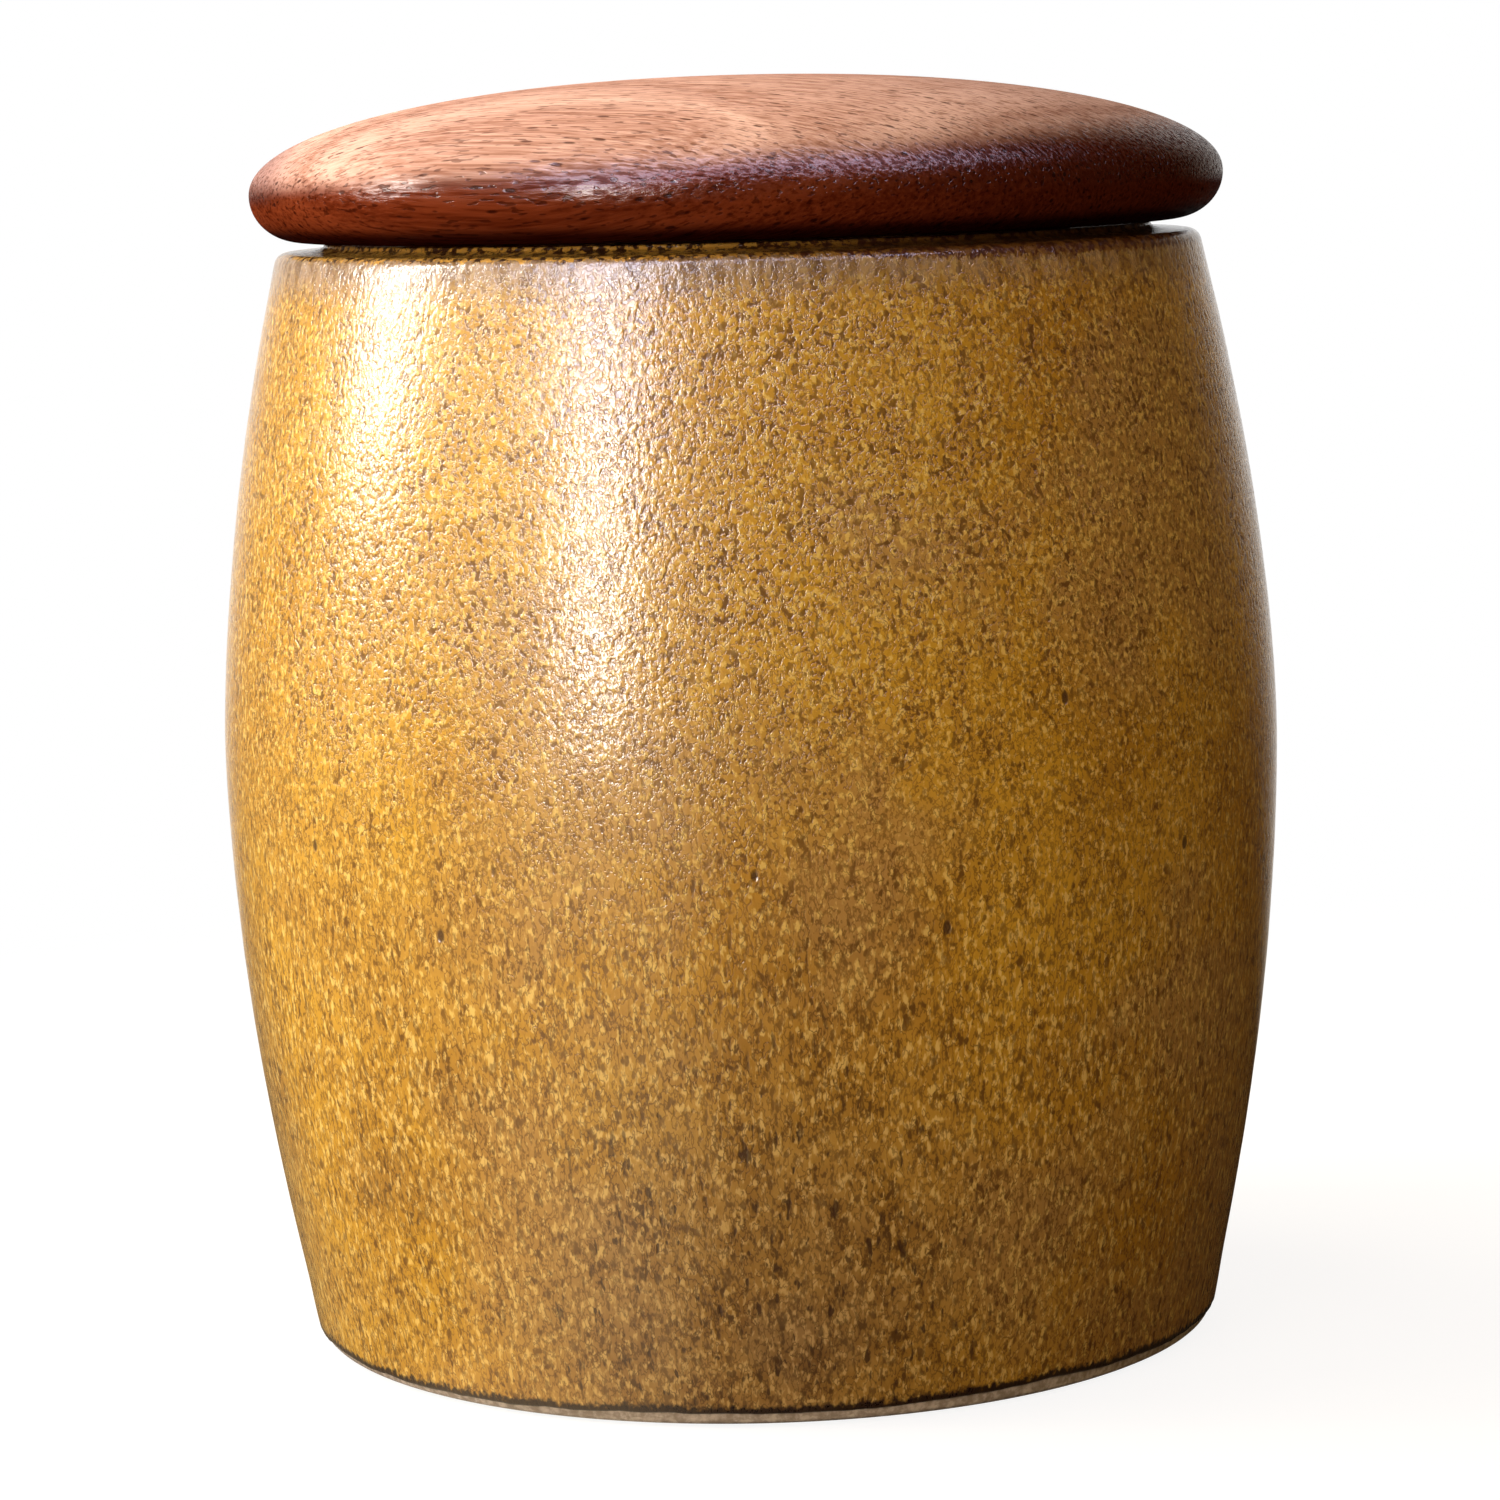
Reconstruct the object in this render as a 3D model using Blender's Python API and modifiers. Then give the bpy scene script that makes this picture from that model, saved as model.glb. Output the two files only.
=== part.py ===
"""Tobacco jar: a glazed stoneware barrel with a turned hardwood lid.

The jar stands on the plane z = 0 with its axis on the world Z axis. Lengths are in metres.
The lid lifts straight up. A cork ring on its plug closes the mouth, and a wetted clay disc,
held in a metal case under the lid, keeps the tobacco moist.
"""

import math

import bmesh
import bpy

# Jar: outer form
BELLY_RADIUS = 0.0700
BELLY_HEIGHT = 0.0783
BASE_INSET = 0.0098
SHOULDER_INSET = 0.0094
SHOULDER_HEIGHT = 0.1441
SHOULDER_ROUNDING = 0.0026
LOWER_CURVE_POWER = 1.82
UPPER_CURVE_POWER = 1.70

# Jar: neck and mouth
LEDGE_WIDTH = 0.0006
NECK_FLARE = 0.0030
NECK_HEIGHT = 0.0011
NECK_WALL = 0.0059
RIM_OUTER_ROUNDING = 0.0003
RIM_INNER_ROUNDING = 0.0015
MOUTH_DEPTH = 0.0085
MOUTH_LOWER_ROUNDING = 0.0010

# Jar: wall, floor and foot
WALL = 0.0060
CEILING_DROP = 0.0088
FLOOR_THICKNESS = 0.0065
FLOOR_FILLET = 0.0110
FOOT_RECESS = 0.0025
FOOT_RING_WIDTH = 0.0080
FOOT_RECESS_SLOPE = 0.0030
FOOT_ROUNDING = 0.0009
BARE_FOOT_HEIGHT = 0.0019
GLAZE_STEP = 0.0004

# Lid
LID_OVERHANG = 0.0095
LID_DOME_HEIGHT = 0.0141
LID_EDGE_HEIGHT = 0.0060
LID_EDGE_UNDERCUT = 0.0066
LID_DOME_POWER = 2.12
PLUG_DEPTH = 0.0120
PLUG_LIP_WIDTH = 0.0018
PLUG_EDGE_ROUNDING = 0.0010

# Cork seal ring
SEAL_HEIGHT = 0.0060
SEAL_THICKNESS = 0.0040
SEAL_EDGE_ROUNDING = 0.0008

# Humidifier
CASE_RADIUS = 0.0300
CASE_DEPTH = 0.0085
CASE_WALL = 0.0008
CASE_EDGE_ROUNDING = 0.0015
FLANGE_WIDTH = 0.0035
FLANGE_THICKNESS = 0.0010
GRILLE_THICKNESS = 0.0008
GRILLE_SKIRT_HEIGHT = 0.0025
GRILLE_EDGE_ROUNDING = 0.0005
HOLE_RADIUS = 0.0015
HOLE_RING_PITCH = 0.0078
HOLE_BORDER = 0.0040
DISC_CHAMFER = 0.0006

# Clearances between pieces, and the overrun of a cutter past the face it cuts
SEAT_GAP = 0.0003
FIT_GAP = 0.0003
CUT_OVERRUN = 0.0005

# Fineness of the faceted shapes
BARREL_SEGMENTS = 60
CASE_SEGMENTS = 48
HOLE_SEGMENTS = 12
HOLES_IN_FIRST_RING = 6
WALL_CURVE_STEPS = 5
LID_CURVE_STEPS = 9
ROUNDING_STEPS = 2
SHOULDER_STEPS = 3
FILLET_STEPS = 4
SHARP_ANGLE = math.radians(35)
MERGE_DISTANCE = 0.00001

# Heights and radii that follow from the sizes above
SHOULDER_RADIUS = BELLY_RADIUS - SHOULDER_INSET
NECK_RADIUS = SHOULDER_RADIUS - SHOULDER_ROUNDING - LEDGE_WIDTH - NECK_FLARE
MOUTH_RADIUS = NECK_RADIUS - NECK_WALL
JAR_HEIGHT = SHOULDER_HEIGHT + NECK_HEIGHT
FLOOR_HEIGHT = FOOT_RECESS + FLOOR_THICKNESS
MOUTH_BOTTOM = JAR_HEIGHT - MOUTH_DEPTH
CEILING_HEIGHT = MOUTH_BOTTOM - CEILING_DROP
LID_UNDERSIDE = JAR_HEIGHT + SEAT_GAP
LID_RADIUS = NECK_RADIUS + LID_OVERHANG
SEAL_OUTER_RADIUS = MOUTH_RADIUS - FIT_GAP
SEAL_INNER_RADIUS = SEAL_OUTER_RADIUS - SEAL_THICKNESS
PLUG_CORE_RADIUS = SEAL_INNER_RADIUS - FIT_GAP
PLUG_LIP_RADIUS = PLUG_CORE_RADIUS + PLUG_LIP_WIDTH
SEAL_GROOVE_HEIGHT = SEAL_HEIGHT + SEAT_GAP + SEAT_GAP
RECESS_RADIUS = CASE_RADIUS + FIT_GAP
RECESS_DEPTH = CASE_DEPTH
CASE_BORE_RADIUS = CASE_RADIUS - CASE_WALL
FLANGE_RADIUS = CASE_RADIUS + FLANGE_WIDTH
GRILLE_RADIUS = CASE_BORE_RADIUS - FIT_GAP
GRILLE_INNER_RADIUS = GRILLE_RADIUS - GRILLE_THICKNESS
DISC_RADIUS = GRILLE_INNER_RADIUS - FIT_GAP

# Colours, each with a metallic and a roughness value
GLAZE_FINISH = ((0.47, 0.27, 0.055), 0.0, 0.38)
HARDWOOD_FINISH = ((0.26, 0.085, 0.040), 0.0, 0.42)
CORK_FINISH = ((0.46, 0.28, 0.15), 0.0, 0.85)
CASE_FINISH = ((0.62, 0.45, 0.20), 0.95, 0.32)
GRILLE_FINISH = ((0.66, 0.49, 0.23), 0.95, 0.26)
CLAY_FINISH = ((0.53, 0.22, 0.12), 0.0, 0.90)


def clear_scene():
    """Empty the scene, and make a collection for the pieces and one for the cutters."""
    for thing in list(bpy.data.objects):
        bpy.data.objects.remove(thing, do_unlink=True)
    pieces = bpy.data.collections.new("tobacco_jar")
    cutters = bpy.data.collections.new("cutters")
    bpy.context.scene.collection.children.link(pieces)
    bpy.context.scene.collection.children.link(cutters)
    return pieces, cutters


def make_material(name, finish):
    """Make a Principled material from a colour, a metallic and a roughness value."""
    colour, metallic, roughness = finish
    material = bpy.data.materials.new(name)
    material.use_nodes = True
    shader = material.node_tree.nodes["Principled BSDF"]
    shader.inputs["Base Color"].default_value = (*colour, 1.0)
    shader.inputs["Metallic"].default_value = metallic
    shader.inputs["Roughness"].default_value = roughness
    material.diffuse_color = (*colour, 1.0)
    return material


def arc(centre, radii, start, end, steps):
    """Points of an elliptical arc in the (radius, height) plane, angles in degrees."""
    points = []
    for step in range(steps + 1):
        angle = math.radians(start + (end - start) * step / steps)
        radius = centre[0] + radii[0] * math.cos(angle)
        height = centre[1] + radii[1] * math.sin(angle)
        points.append((radius, height))
    return points


def rounding(centre, size, start, end):
    """Points of a small round edge of equal radii."""
    return arc(centre, (size, size), start, end, ROUNDING_STEPS)


def turn(name, profile, segments, collection, closed=False):
    """Turn a profile about the Z axis. It runs down the outer side of the piece."""
    mesh = bpy.data.meshes.new(name)
    shape = bmesh.new()
    corners = [shape.verts.new((radius, 0.0, height)) for radius, height in profile]
    for first, second in zip(corners, corners[1:]):
        shape.edges.new((first, second))
    if closed:
        shape.edges.new((corners[-1], corners[0]))
    shape.to_mesh(mesh)
    shape.free()
    piece = bpy.data.objects.new(name, mesh)
    collection.objects.link(piece)
    screw = piece.modifiers.new("turned", "SCREW")
    screw.axis = "Z"
    screw.angle = math.tau
    screw.steps = segments
    screw.render_steps = segments
    screw.use_merge_vertices = True
    screw.merge_threshold = MERGE_DISTANCE
    return piece


def settle(piece):
    """Keep the shape that the modifiers give, shaded smooth between its sharp edges."""
    bpy.context.view_layer.update()
    graph = bpy.context.evaluated_depsgraph_get()
    outline = piece.data
    piece.data = bpy.data.meshes.new_from_object(piece.evaluated_get(graph))
    piece.data.name = piece.name
    piece.modifiers.clear()
    bpy.data.meshes.remove(outline)
    piece.data.shade_smooth()
    piece.data.set_sharp_from_angle(angle=SHARP_ANGLE)


def seat(piece, material, parent=None, height=0.0):
    """Give a piece its material, and place it at a height on its parent's axis."""
    settle(piece)
    piece.data.materials.clear()
    piece.data.materials.append(material)
    piece.parent = parent
    piece.location = (0.0, 0.0, height)


def wall_radius(height):
    """Outer radius of the barrel at a height: two power curves that meet at the belly."""
    if height < BELLY_HEIGHT:
        reach = (BELLY_HEIGHT - height) / BELLY_HEIGHT
        return BELLY_RADIUS - BASE_INSET * reach**LOWER_CURVE_POWER
    reach = (height - BELLY_HEIGHT) / (SHOULDER_HEIGHT - BELLY_HEIGHT)
    return BELLY_RADIUS - SHOULDER_INSET * reach**UPPER_CURVE_POWER


def wall_lean(height):
    """Angle in degrees by which the upper wall leans in towards the axis at a height."""
    rise = SHOULDER_HEIGHT - BELLY_HEIGHT
    reach = (height - BELLY_HEIGHT) / rise
    slope = SHOULDER_INSET / rise * UPPER_CURVE_POWER
    return math.degrees(math.atan(slope * reach ** (UPPER_CURVE_POWER - 1)))


def wall_points(top, bottom, offset):
    """Points down the barrel between two heights, at an offset from its outer face."""
    spans = [(top, BELLY_HEIGHT), (BELLY_HEIGHT, bottom)]
    points = [(wall_radius(top) + offset, top)]
    for start, end in spans:
        for step in range(1, WALL_CURVE_STEPS + 1):
            height = start + (end - start) * step / WALL_CURVE_STEPS
            points.append((wall_radius(height) + offset, height))
    return points


def jar_inside():
    """Profile of the inside, from the middle of the floor up to the mouth."""
    fillet_top = FLOOR_HEIGHT + FLOOR_FILLET
    fillet_centre = (wall_radius(fillet_top) - WALL - FLOOR_FILLET, fillet_top)
    floor = [(0.0, FLOOR_HEIGHT)]
    floor += arc(fillet_centre, (FLOOR_FILLET, FLOOR_FILLET), -90, 0, FILLET_STEPS)
    wall = wall_points(CEILING_HEIGHT, fillet_top, -WALL)[::-1]
    lip = MOUTH_LOWER_ROUNDING
    ceiling_reach = wall_radius(CEILING_HEIGHT) - WALL - MOUTH_RADIUS - lip
    ceiling_centre = (MOUTH_RADIUS + lip, CEILING_HEIGHT)
    ceiling = arc(ceiling_centre, (ceiling_reach, CEILING_DROP), 0, 90, FILLET_STEPS)
    lower_lip = rounding((MOUTH_RADIUS + lip, MOUTH_BOTTOM + lip), lip, 270, 180)
    rim_centre = (MOUTH_RADIUS + RIM_INNER_ROUNDING, JAR_HEIGHT - RIM_INNER_ROUNDING)
    rim = rounding(rim_centre, RIM_INNER_ROUNDING, 180, 90)
    return floor + wall[1:] + ceiling[1:] + lower_lip[1:] + rim


def jar_neck():
    """Profile of the neck and shoulder, from the outer edge of the rim to the wall."""
    edge = RIM_OUTER_ROUNDING
    flare_top = JAR_HEIGHT - edge
    points = rounding((NECK_RADIUS - edge, flare_top), edge, 90, 0)
    flare = (NECK_FLARE, flare_top - SHOULDER_HEIGHT)
    flare_centre = (NECK_RADIUS + NECK_FLARE, flare_top)
    points += arc(flare_centre, flare, 180, 270, SHOULDER_STEPS)[1:]
    centre_height = SHOULDER_HEIGHT - SHOULDER_ROUNDING
    lean = wall_lean(centre_height)
    touch = centre_height + SHOULDER_ROUNDING * math.sin(math.radians(lean))
    reach = SHOULDER_ROUNDING * math.cos(math.radians(lean))
    centre = (wall_radius(touch) - reach, centre_height)
    radii = (SHOULDER_ROUNDING, SHOULDER_ROUNDING)
    points += arc(centre, radii, 90, lean, SHOULDER_STEPS)
    return points, touch


def jar_foot():
    """Profile of the bare foot, from the edge of the glaze to the middle of the recess."""
    bare_radius = wall_radius(BARE_FOOT_HEIGHT) - GLAZE_STEP
    foot_radius = wall_radius(FOOT_ROUNDING) - GLAZE_STEP
    foot_centre = (foot_radius - FOOT_ROUNDING, FOOT_ROUNDING)
    ring_inner = foot_centre[0] - FOOT_RING_WIDTH
    points = [(bare_radius, BARE_FOOT_HEIGHT)]
    points += rounding(foot_centre, FOOT_ROUNDING, 0, -90)
    points.append((ring_inner, 0.0))
    points.append((ring_inner - FOOT_RECESS_SLOPE, FOOT_RECESS))
    points.append((0.0, FOOT_RECESS))
    return points


def build_jar(collection):
    """The stoneware body: barrel wall, floor, foot ring, shoulder, neck and mouth."""
    neck, touch = jar_neck()
    glaze_edge = BARE_FOOT_HEIGHT + GLAZE_STEP
    wall = wall_points(touch, glaze_edge, 0.0)
    glaze_centre = (wall_radius(glaze_edge) - GLAZE_STEP, glaze_edge)
    glaze_roll = rounding(glaze_centre, GLAZE_STEP, 0, -90)
    outside = neck + wall[1:] + glaze_roll[1:-1] + jar_foot()
    jar = turn("jar_body", jar_inside() + outside, BARREL_SEGMENTS, collection)
    seat(jar, make_material("glazed_stoneware", GLAZE_FINISH))
    return jar


def build_lid(collection):
    """The turned lid: dome, rounded edge, plug with a groove for the seal, and a recess."""
    profile = []
    for step in range(LID_CURVE_STEPS + 1):
        angle = math.radians(90 - 90 * step / LID_CURVE_STEPS)
        radius = LID_RADIUS * max(math.cos(angle), 0.0) ** (2 / LID_DOME_POWER)
        rise = LID_DOME_HEIGHT * max(math.sin(angle), 0.0) ** (2 / LID_DOME_POWER)
        profile.append((radius, LID_EDGE_HEIGHT + rise))
    profile[0] = (0.0, LID_EDGE_HEIGHT + LID_DOME_HEIGHT)
    edge_centre = (LID_RADIUS - LID_EDGE_UNDERCUT, LID_EDGE_HEIGHT)
    edge_radii = (LID_EDGE_UNDERCUT, LID_EDGE_HEIGHT)
    profile += arc(edge_centre, edge_radii, 0, -90, FILLET_STEPS)[1:]
    round_centre = (PLUG_LIP_RADIUS - PLUG_EDGE_ROUNDING, PLUG_EDGE_ROUNDING - PLUG_DEPTH)
    profile.append((PLUG_CORE_RADIUS, 0.0))
    profile.append((PLUG_CORE_RADIUS, -SEAL_GROOVE_HEIGHT))
    profile.append((PLUG_LIP_RADIUS, -SEAL_GROOVE_HEIGHT))
    profile += rounding(round_centre, PLUG_EDGE_ROUNDING, 0, -90)
    profile.append((RECESS_RADIUS, -PLUG_DEPTH))
    profile.append((RECESS_RADIUS, RECESS_DEPTH - PLUG_DEPTH))
    profile.append((0.0, RECESS_DEPTH - PLUG_DEPTH))
    lid = turn("lid", profile, BARREL_SEGMENTS, collection)
    seat(lid, make_material("oiled_hardwood", HARDWOOD_FINISH), height=LID_UNDERSIDE)
    return lid


def build_seal(collection, lid):
    """The cork ring in the groove of the plug."""
    edge = SEAL_EDGE_ROUNDING
    outer = SEAL_OUTER_RADIUS - edge
    profile = [(SEAL_INNER_RADIUS, 0.0)]
    profile += rounding((outer, -edge), edge, 90, 0)
    profile += rounding((outer, edge - SEAL_HEIGHT), edge, 0, -90)
    profile.append((SEAL_INNER_RADIUS, -SEAL_HEIGHT))
    seal = turn("cork_seal_ring", profile, BARREL_SEGMENTS, collection, closed=True)
    seat(seal, make_material("cork", CORK_FINISH), parent=lid, height=-SEAT_GAP)


def build_case(collection, lid):
    """The spun case in the recess of the lid. Its flange lies under the plug."""
    edge = CASE_EDGE_ROUNDING
    profile = [(0.0, CASE_DEPTH)]
    profile += rounding((CASE_RADIUS - edge, CASE_DEPTH - edge), edge, 90, 0)
    profile.append((CASE_RADIUS, 0.0))
    profile.append((FLANGE_RADIUS, 0.0))
    profile.append((FLANGE_RADIUS, -FLANGE_THICKNESS))
    profile.append((CASE_BORE_RADIUS, -FLANGE_THICKNESS))
    inner_edge = edge - CASE_WALL
    inner_centre = (CASE_BORE_RADIUS - inner_edge, CASE_DEPTH - edge)
    profile += rounding(inner_centre, inner_edge, 0, 90)
    profile.append((0.0, CASE_DEPTH - CASE_WALL))
    case = turn("humidifier_case", profile, CASE_SEGMENTS, collection)
    case_height = -PLUG_DEPTH - SEAT_GAP
    seat(case, make_material("case_brass", CASE_FINISH), parent=lid, height=case_height)
    return case


def hole_centres():
    """One hole in the middle, then rings that each hold six more than the one inside."""
    centres = [(0.0, 0.0)]
    rings = int((GRILLE_INNER_RADIUS - HOLE_BORDER) / HOLE_RING_PITCH)
    for ring in range(1, rings + 1):
        count = HOLES_IN_FIRST_RING * ring
        for index in range(count):
            angle = math.tau * index / count
            radius = HOLE_RING_PITCH * ring
            centres.append((radius * math.cos(angle), radius * math.sin(angle)))
    return centres


def build_hole_cutter(collection):
    """One mesh with a pin for each hole of the grille."""
    mesh = bpy.data.meshes.new("grille_hole_pins")
    shape = bmesh.new()
    length = GRILLE_THICKNESS + CUT_OVERRUN + CUT_OVERRUN
    for across, along in hole_centres():
        pin = bmesh.ops.create_cone(
            shape,
            cap_ends=True,
            segments=HOLE_SEGMENTS,
            radius1=HOLE_RADIUS,
            radius2=HOLE_RADIUS,
            depth=length,
        )
        place = (across, along, GRILLE_THICKNESS / 2)
        bmesh.ops.translate(shape, verts=pin["verts"], vec=place)
    shape.to_mesh(mesh)
    shape.free()
    cutter = bpy.data.objects.new("grille_hole_pins", mesh)
    collection.objects.link(cutter)
    cutter.hide_render = True
    cutter.display_type = "WIRE"
    return cutter


def build_grille(collection, cutters, case):
    """The perforated cover, whose skirt is pushed into the mouth of the case."""
    edge = GRILLE_EDGE_ROUNDING
    profile = [(0.0, GRILLE_THICKNESS)]
    profile.append((GRILLE_INNER_RADIUS, GRILLE_THICKNESS))
    profile.append((GRILLE_INNER_RADIUS, GRILLE_SKIRT_HEIGHT))
    profile.append((GRILLE_RADIUS, GRILLE_SKIRT_HEIGHT))
    profile += rounding((GRILLE_RADIUS - edge, edge), edge, 0, -90)
    profile.append((0.0, 0.0))
    grille = turn("humidifier_grille", profile, CASE_SEGMENTS, collection)
    cut = grille.modifiers.new("holes", "BOOLEAN")
    cut.operation = "DIFFERENCE"
    cut.solver = "EXACT"
    cut.object = build_hole_cutter(cutters)
    material = make_material("grille_brass", GRILLE_FINISH)
    seat(grille, material, parent=case, height=-FLANGE_THICKNESS)


def build_disc(collection, case):
    """The porous clay disc, which lies on the grille inside the case."""
    bottom = GRILLE_THICKNESS - FLANGE_THICKNESS + SEAT_GAP
    thickness = CASE_DEPTH - CASE_WALL - SEAT_GAP - bottom
    profile = [(0.0, thickness)]
    profile.append((DISC_RADIUS - DISC_CHAMFER, thickness))
    profile.append((DISC_RADIUS, thickness - DISC_CHAMFER))
    profile.append((DISC_RADIUS, DISC_CHAMFER))
    profile.append((DISC_RADIUS - DISC_CHAMFER, 0.0))
    profile.append((0.0, 0.0))
    disc = turn("humidifier_disc", profile, CASE_SEGMENTS, collection)
    seat(disc, make_material("porous_clay", CLAY_FINISH), parent=case, height=bottom)


def main():
    pieces, cutters = clear_scene()
    build_jar(pieces)
    lid = build_lid(pieces)
    build_seal(pieces, lid)
    case = build_case(pieces, lid)
    build_grille(pieces, cutters, case)
    build_disc(pieces, case)
    bpy.context.view_layer.update()


main()
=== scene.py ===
"""Looks of the tobacco jar: glazed stoneware, turned hardwood, cork, brass and porous clay."""
import math

import bpy
import numpy as np
from mathutils import Matrix, Vector, noise


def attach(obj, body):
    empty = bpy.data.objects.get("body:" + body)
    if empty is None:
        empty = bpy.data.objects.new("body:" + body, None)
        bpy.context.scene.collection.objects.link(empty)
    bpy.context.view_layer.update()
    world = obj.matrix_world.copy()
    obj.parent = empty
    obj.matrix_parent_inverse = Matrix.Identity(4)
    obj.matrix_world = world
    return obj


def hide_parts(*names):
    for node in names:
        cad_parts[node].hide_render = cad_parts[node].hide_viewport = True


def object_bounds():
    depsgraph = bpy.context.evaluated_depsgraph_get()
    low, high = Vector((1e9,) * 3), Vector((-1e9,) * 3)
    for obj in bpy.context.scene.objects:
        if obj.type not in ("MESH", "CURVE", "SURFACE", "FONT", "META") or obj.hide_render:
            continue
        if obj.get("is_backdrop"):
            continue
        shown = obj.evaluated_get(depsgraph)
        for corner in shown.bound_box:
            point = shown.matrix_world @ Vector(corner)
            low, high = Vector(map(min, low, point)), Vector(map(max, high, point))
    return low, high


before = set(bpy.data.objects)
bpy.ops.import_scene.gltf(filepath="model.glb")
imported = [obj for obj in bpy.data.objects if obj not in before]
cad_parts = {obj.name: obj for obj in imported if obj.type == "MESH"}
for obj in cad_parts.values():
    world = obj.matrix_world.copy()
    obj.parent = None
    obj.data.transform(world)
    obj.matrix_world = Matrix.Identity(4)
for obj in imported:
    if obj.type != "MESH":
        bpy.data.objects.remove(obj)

CAD_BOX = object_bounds()

# Sizes of the jar, in metres
BELLY_RADIUS = 0.0700
BELLY_HEIGHT = 0.0783
BASE_INSET = 0.0098
SHOULDER_INSET = 0.0094
SHOULDER_HEIGHT = 0.1441
SHOULDER_ROUNDING = 0.0017
LOWER_CURVE_POWER = 1.82
UPPER_CURVE_POWER = 1.70
NECK_FLARE = 0.0030
NECK_RADIUS = 0.0544
JAR_HEIGHT = 0.1452
RIM_OUTER_ROUNDING = 0.0003
RIM_INNER_ROUNDING = 0.0015
MOUTH_RADIUS = 0.0485
MOUTH_DEPTH = 0.0085
MOUTH_LOWER_ROUNDING = 0.0010
WALL = 0.0060
CEILING_DROP = 0.0088
FLOOR_HEIGHT = 0.0090
FLOOR_FILLET = 0.0110
FOOT_RECESS = 0.0025
FOOT_RING_WIDTH = 0.0080
FOOT_RECESS_SLOPE = 0.0030
FOOT_ROUNDING = 0.0009
BARE_FOOT_HEIGHT = 0.0019
GLAZE_STEP = 0.0004

# Sizes of the lid, in metres, its heights counted from its underside
LID_UNDERSIDE = 0.1455
LID_RADIUS = 0.0639
LID_DOME_HEIGHT = 0.0141
LID_EDGE_HEIGHT = 0.0060
LID_EDGE_UNDERCUT = 0.0066
LID_DOME_POWER = 2.12
PLUG_DEPTH = 0.0120
PLUG_CORE_RADIUS = 0.0439
PLUG_LIP_RADIUS = 0.0457
PLUG_EDGE_ROUNDING = 0.0010
SEAL_GROOVE_HEIGHT = 0.0066
RECESS_RADIUS = 0.0303
RECESS_DEPTH = 0.0085

# Sizes of the cork seal and the humidifier case, in metres. The seal's profile ends the
# closing step below its start
SEAL_TOP = 0.1452
SEAL_HEIGHT = 0.0060
SEAL_OUTER_RADIUS = 0.0482
SEAL_INNER_RADIUS = 0.0442
SEAL_EDGE_ROUNDING = 0.0008
SEAL_CLOSING_STEP = 0.0005
CASE_BASE = 0.1332
CASE_RADIUS = 0.0300
CASE_DEPTH = 0.0085
CASE_WALL = 0.0008
CASE_EDGE_ROUNDING = 0.0015
FLANGE_RADIUS = 0.0335
FLANGE_THICKNESS = 0.0010
FLANGE_EDGE_ROUNDING = 0.0003

# Camera, fitted to the photograph
CAMERA_PLACE = (0.0, -0.6297, 0.1613)
CAMERA_PITCH = -7.71
CAMERA_YAW = -0.02
CAMERA_ROLL = -1.61
FOCAL_PIXELS = 4745
PHOTO_PIXELS = 1500
SENSOR_WIDTH = 36.0

# Fineness of the meshes
SEGMENTS = 416
CASE_SEGMENTS = 240
DOME_STEPS = 90
SHARP_ANGLE = math.radians(40)
MERGE_DISTANCE = 1e-6

# Longest steps between the points of a profile, in metres, from the tightest roundings to
# the faces that nothing shows
STEP_HAIR = 0.0001
STEP_EDGE = 0.0002
STEP_LIP = 0.0003
STEP_BEND = 0.0004
STEP_ROUNDING = 0.0005
STEP_FINE = 0.0010
STEP_PLUG = 0.0012
STEP_WALL = 0.00125
STEP_FACE = 0.0015
STEP_CEILING = 0.0018
STEP_FLAT = 0.0020
STEP_FILLET = 0.0025
STEP_BROAD = 0.0040
STEP_INNER_WALL = 0.0050
STEP_RECESS = 0.0060


def arc(centre, radii, start, end, spacing):
    """Points of an elliptical arc in the (radius, height) plane, angles in degrees.

    The spacing is the longest step from one point to the next, as in the functions below.
    """
    length = math.radians(abs(end - start)) * max(radii)
    steps = max(3, math.ceil(length / spacing))
    points = []
    for step in range(steps + 1):
        angle = math.radians(start + (end - start) * step / steps)
        radius = centre[0] + radii[0] * math.cos(angle)
        points.append((radius, centre[1] + radii[1] * math.sin(angle)))
    return points


def line(start, end, spacing):
    """Points of a straight stretch in the (radius, height) plane."""
    length = math.dist(start, end)
    steps = max(1, math.ceil(length / spacing))
    shares = [step / steps for step in range(steps + 1)]
    return [
        (start[0] + (end[0] - start[0]) * share, start[1] + (end[1] - start[1]) * share)
        for share in shares
    ]


def joined(*stretches):
    """One list of points from several stretches, each point only once."""
    points = list(stretches[0])
    for stretch in stretches[1:]:
        for point in stretch:
            if math.dist(points[-1], point) > MERGE_DISTANCE:
                points.append(point)
    return points


def wall_radius(height):
    """Outer radius of the barrel at a height."""
    if height < BELLY_HEIGHT:
        reach = (BELLY_HEIGHT - height) / BELLY_HEIGHT
        return BELLY_RADIUS - BASE_INSET * reach**LOWER_CURVE_POWER
    reach = (height - BELLY_HEIGHT) / (SHOULDER_HEIGHT - BELLY_HEIGHT)
    return BELLY_RADIUS - SHOULDER_INSET * reach**UPPER_CURVE_POWER


def wall(top, bottom, offset, spacing):
    """Points down the barrel between two heights, at an offset from its outer face."""
    steps = math.ceil((top - bottom) / spacing)
    heights = [top + (bottom - top) * step / steps for step in range(steps + 1)]
    return [(wall_radius(height) + offset, height) for height in heights]


def smooth(value, low, high):
    """Zero below low, one above high, and a smooth step between them."""
    share = min(max((value - low) / (high - low), 0.0), 1.0)
    return share * share * (3 - 2 * share)


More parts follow.
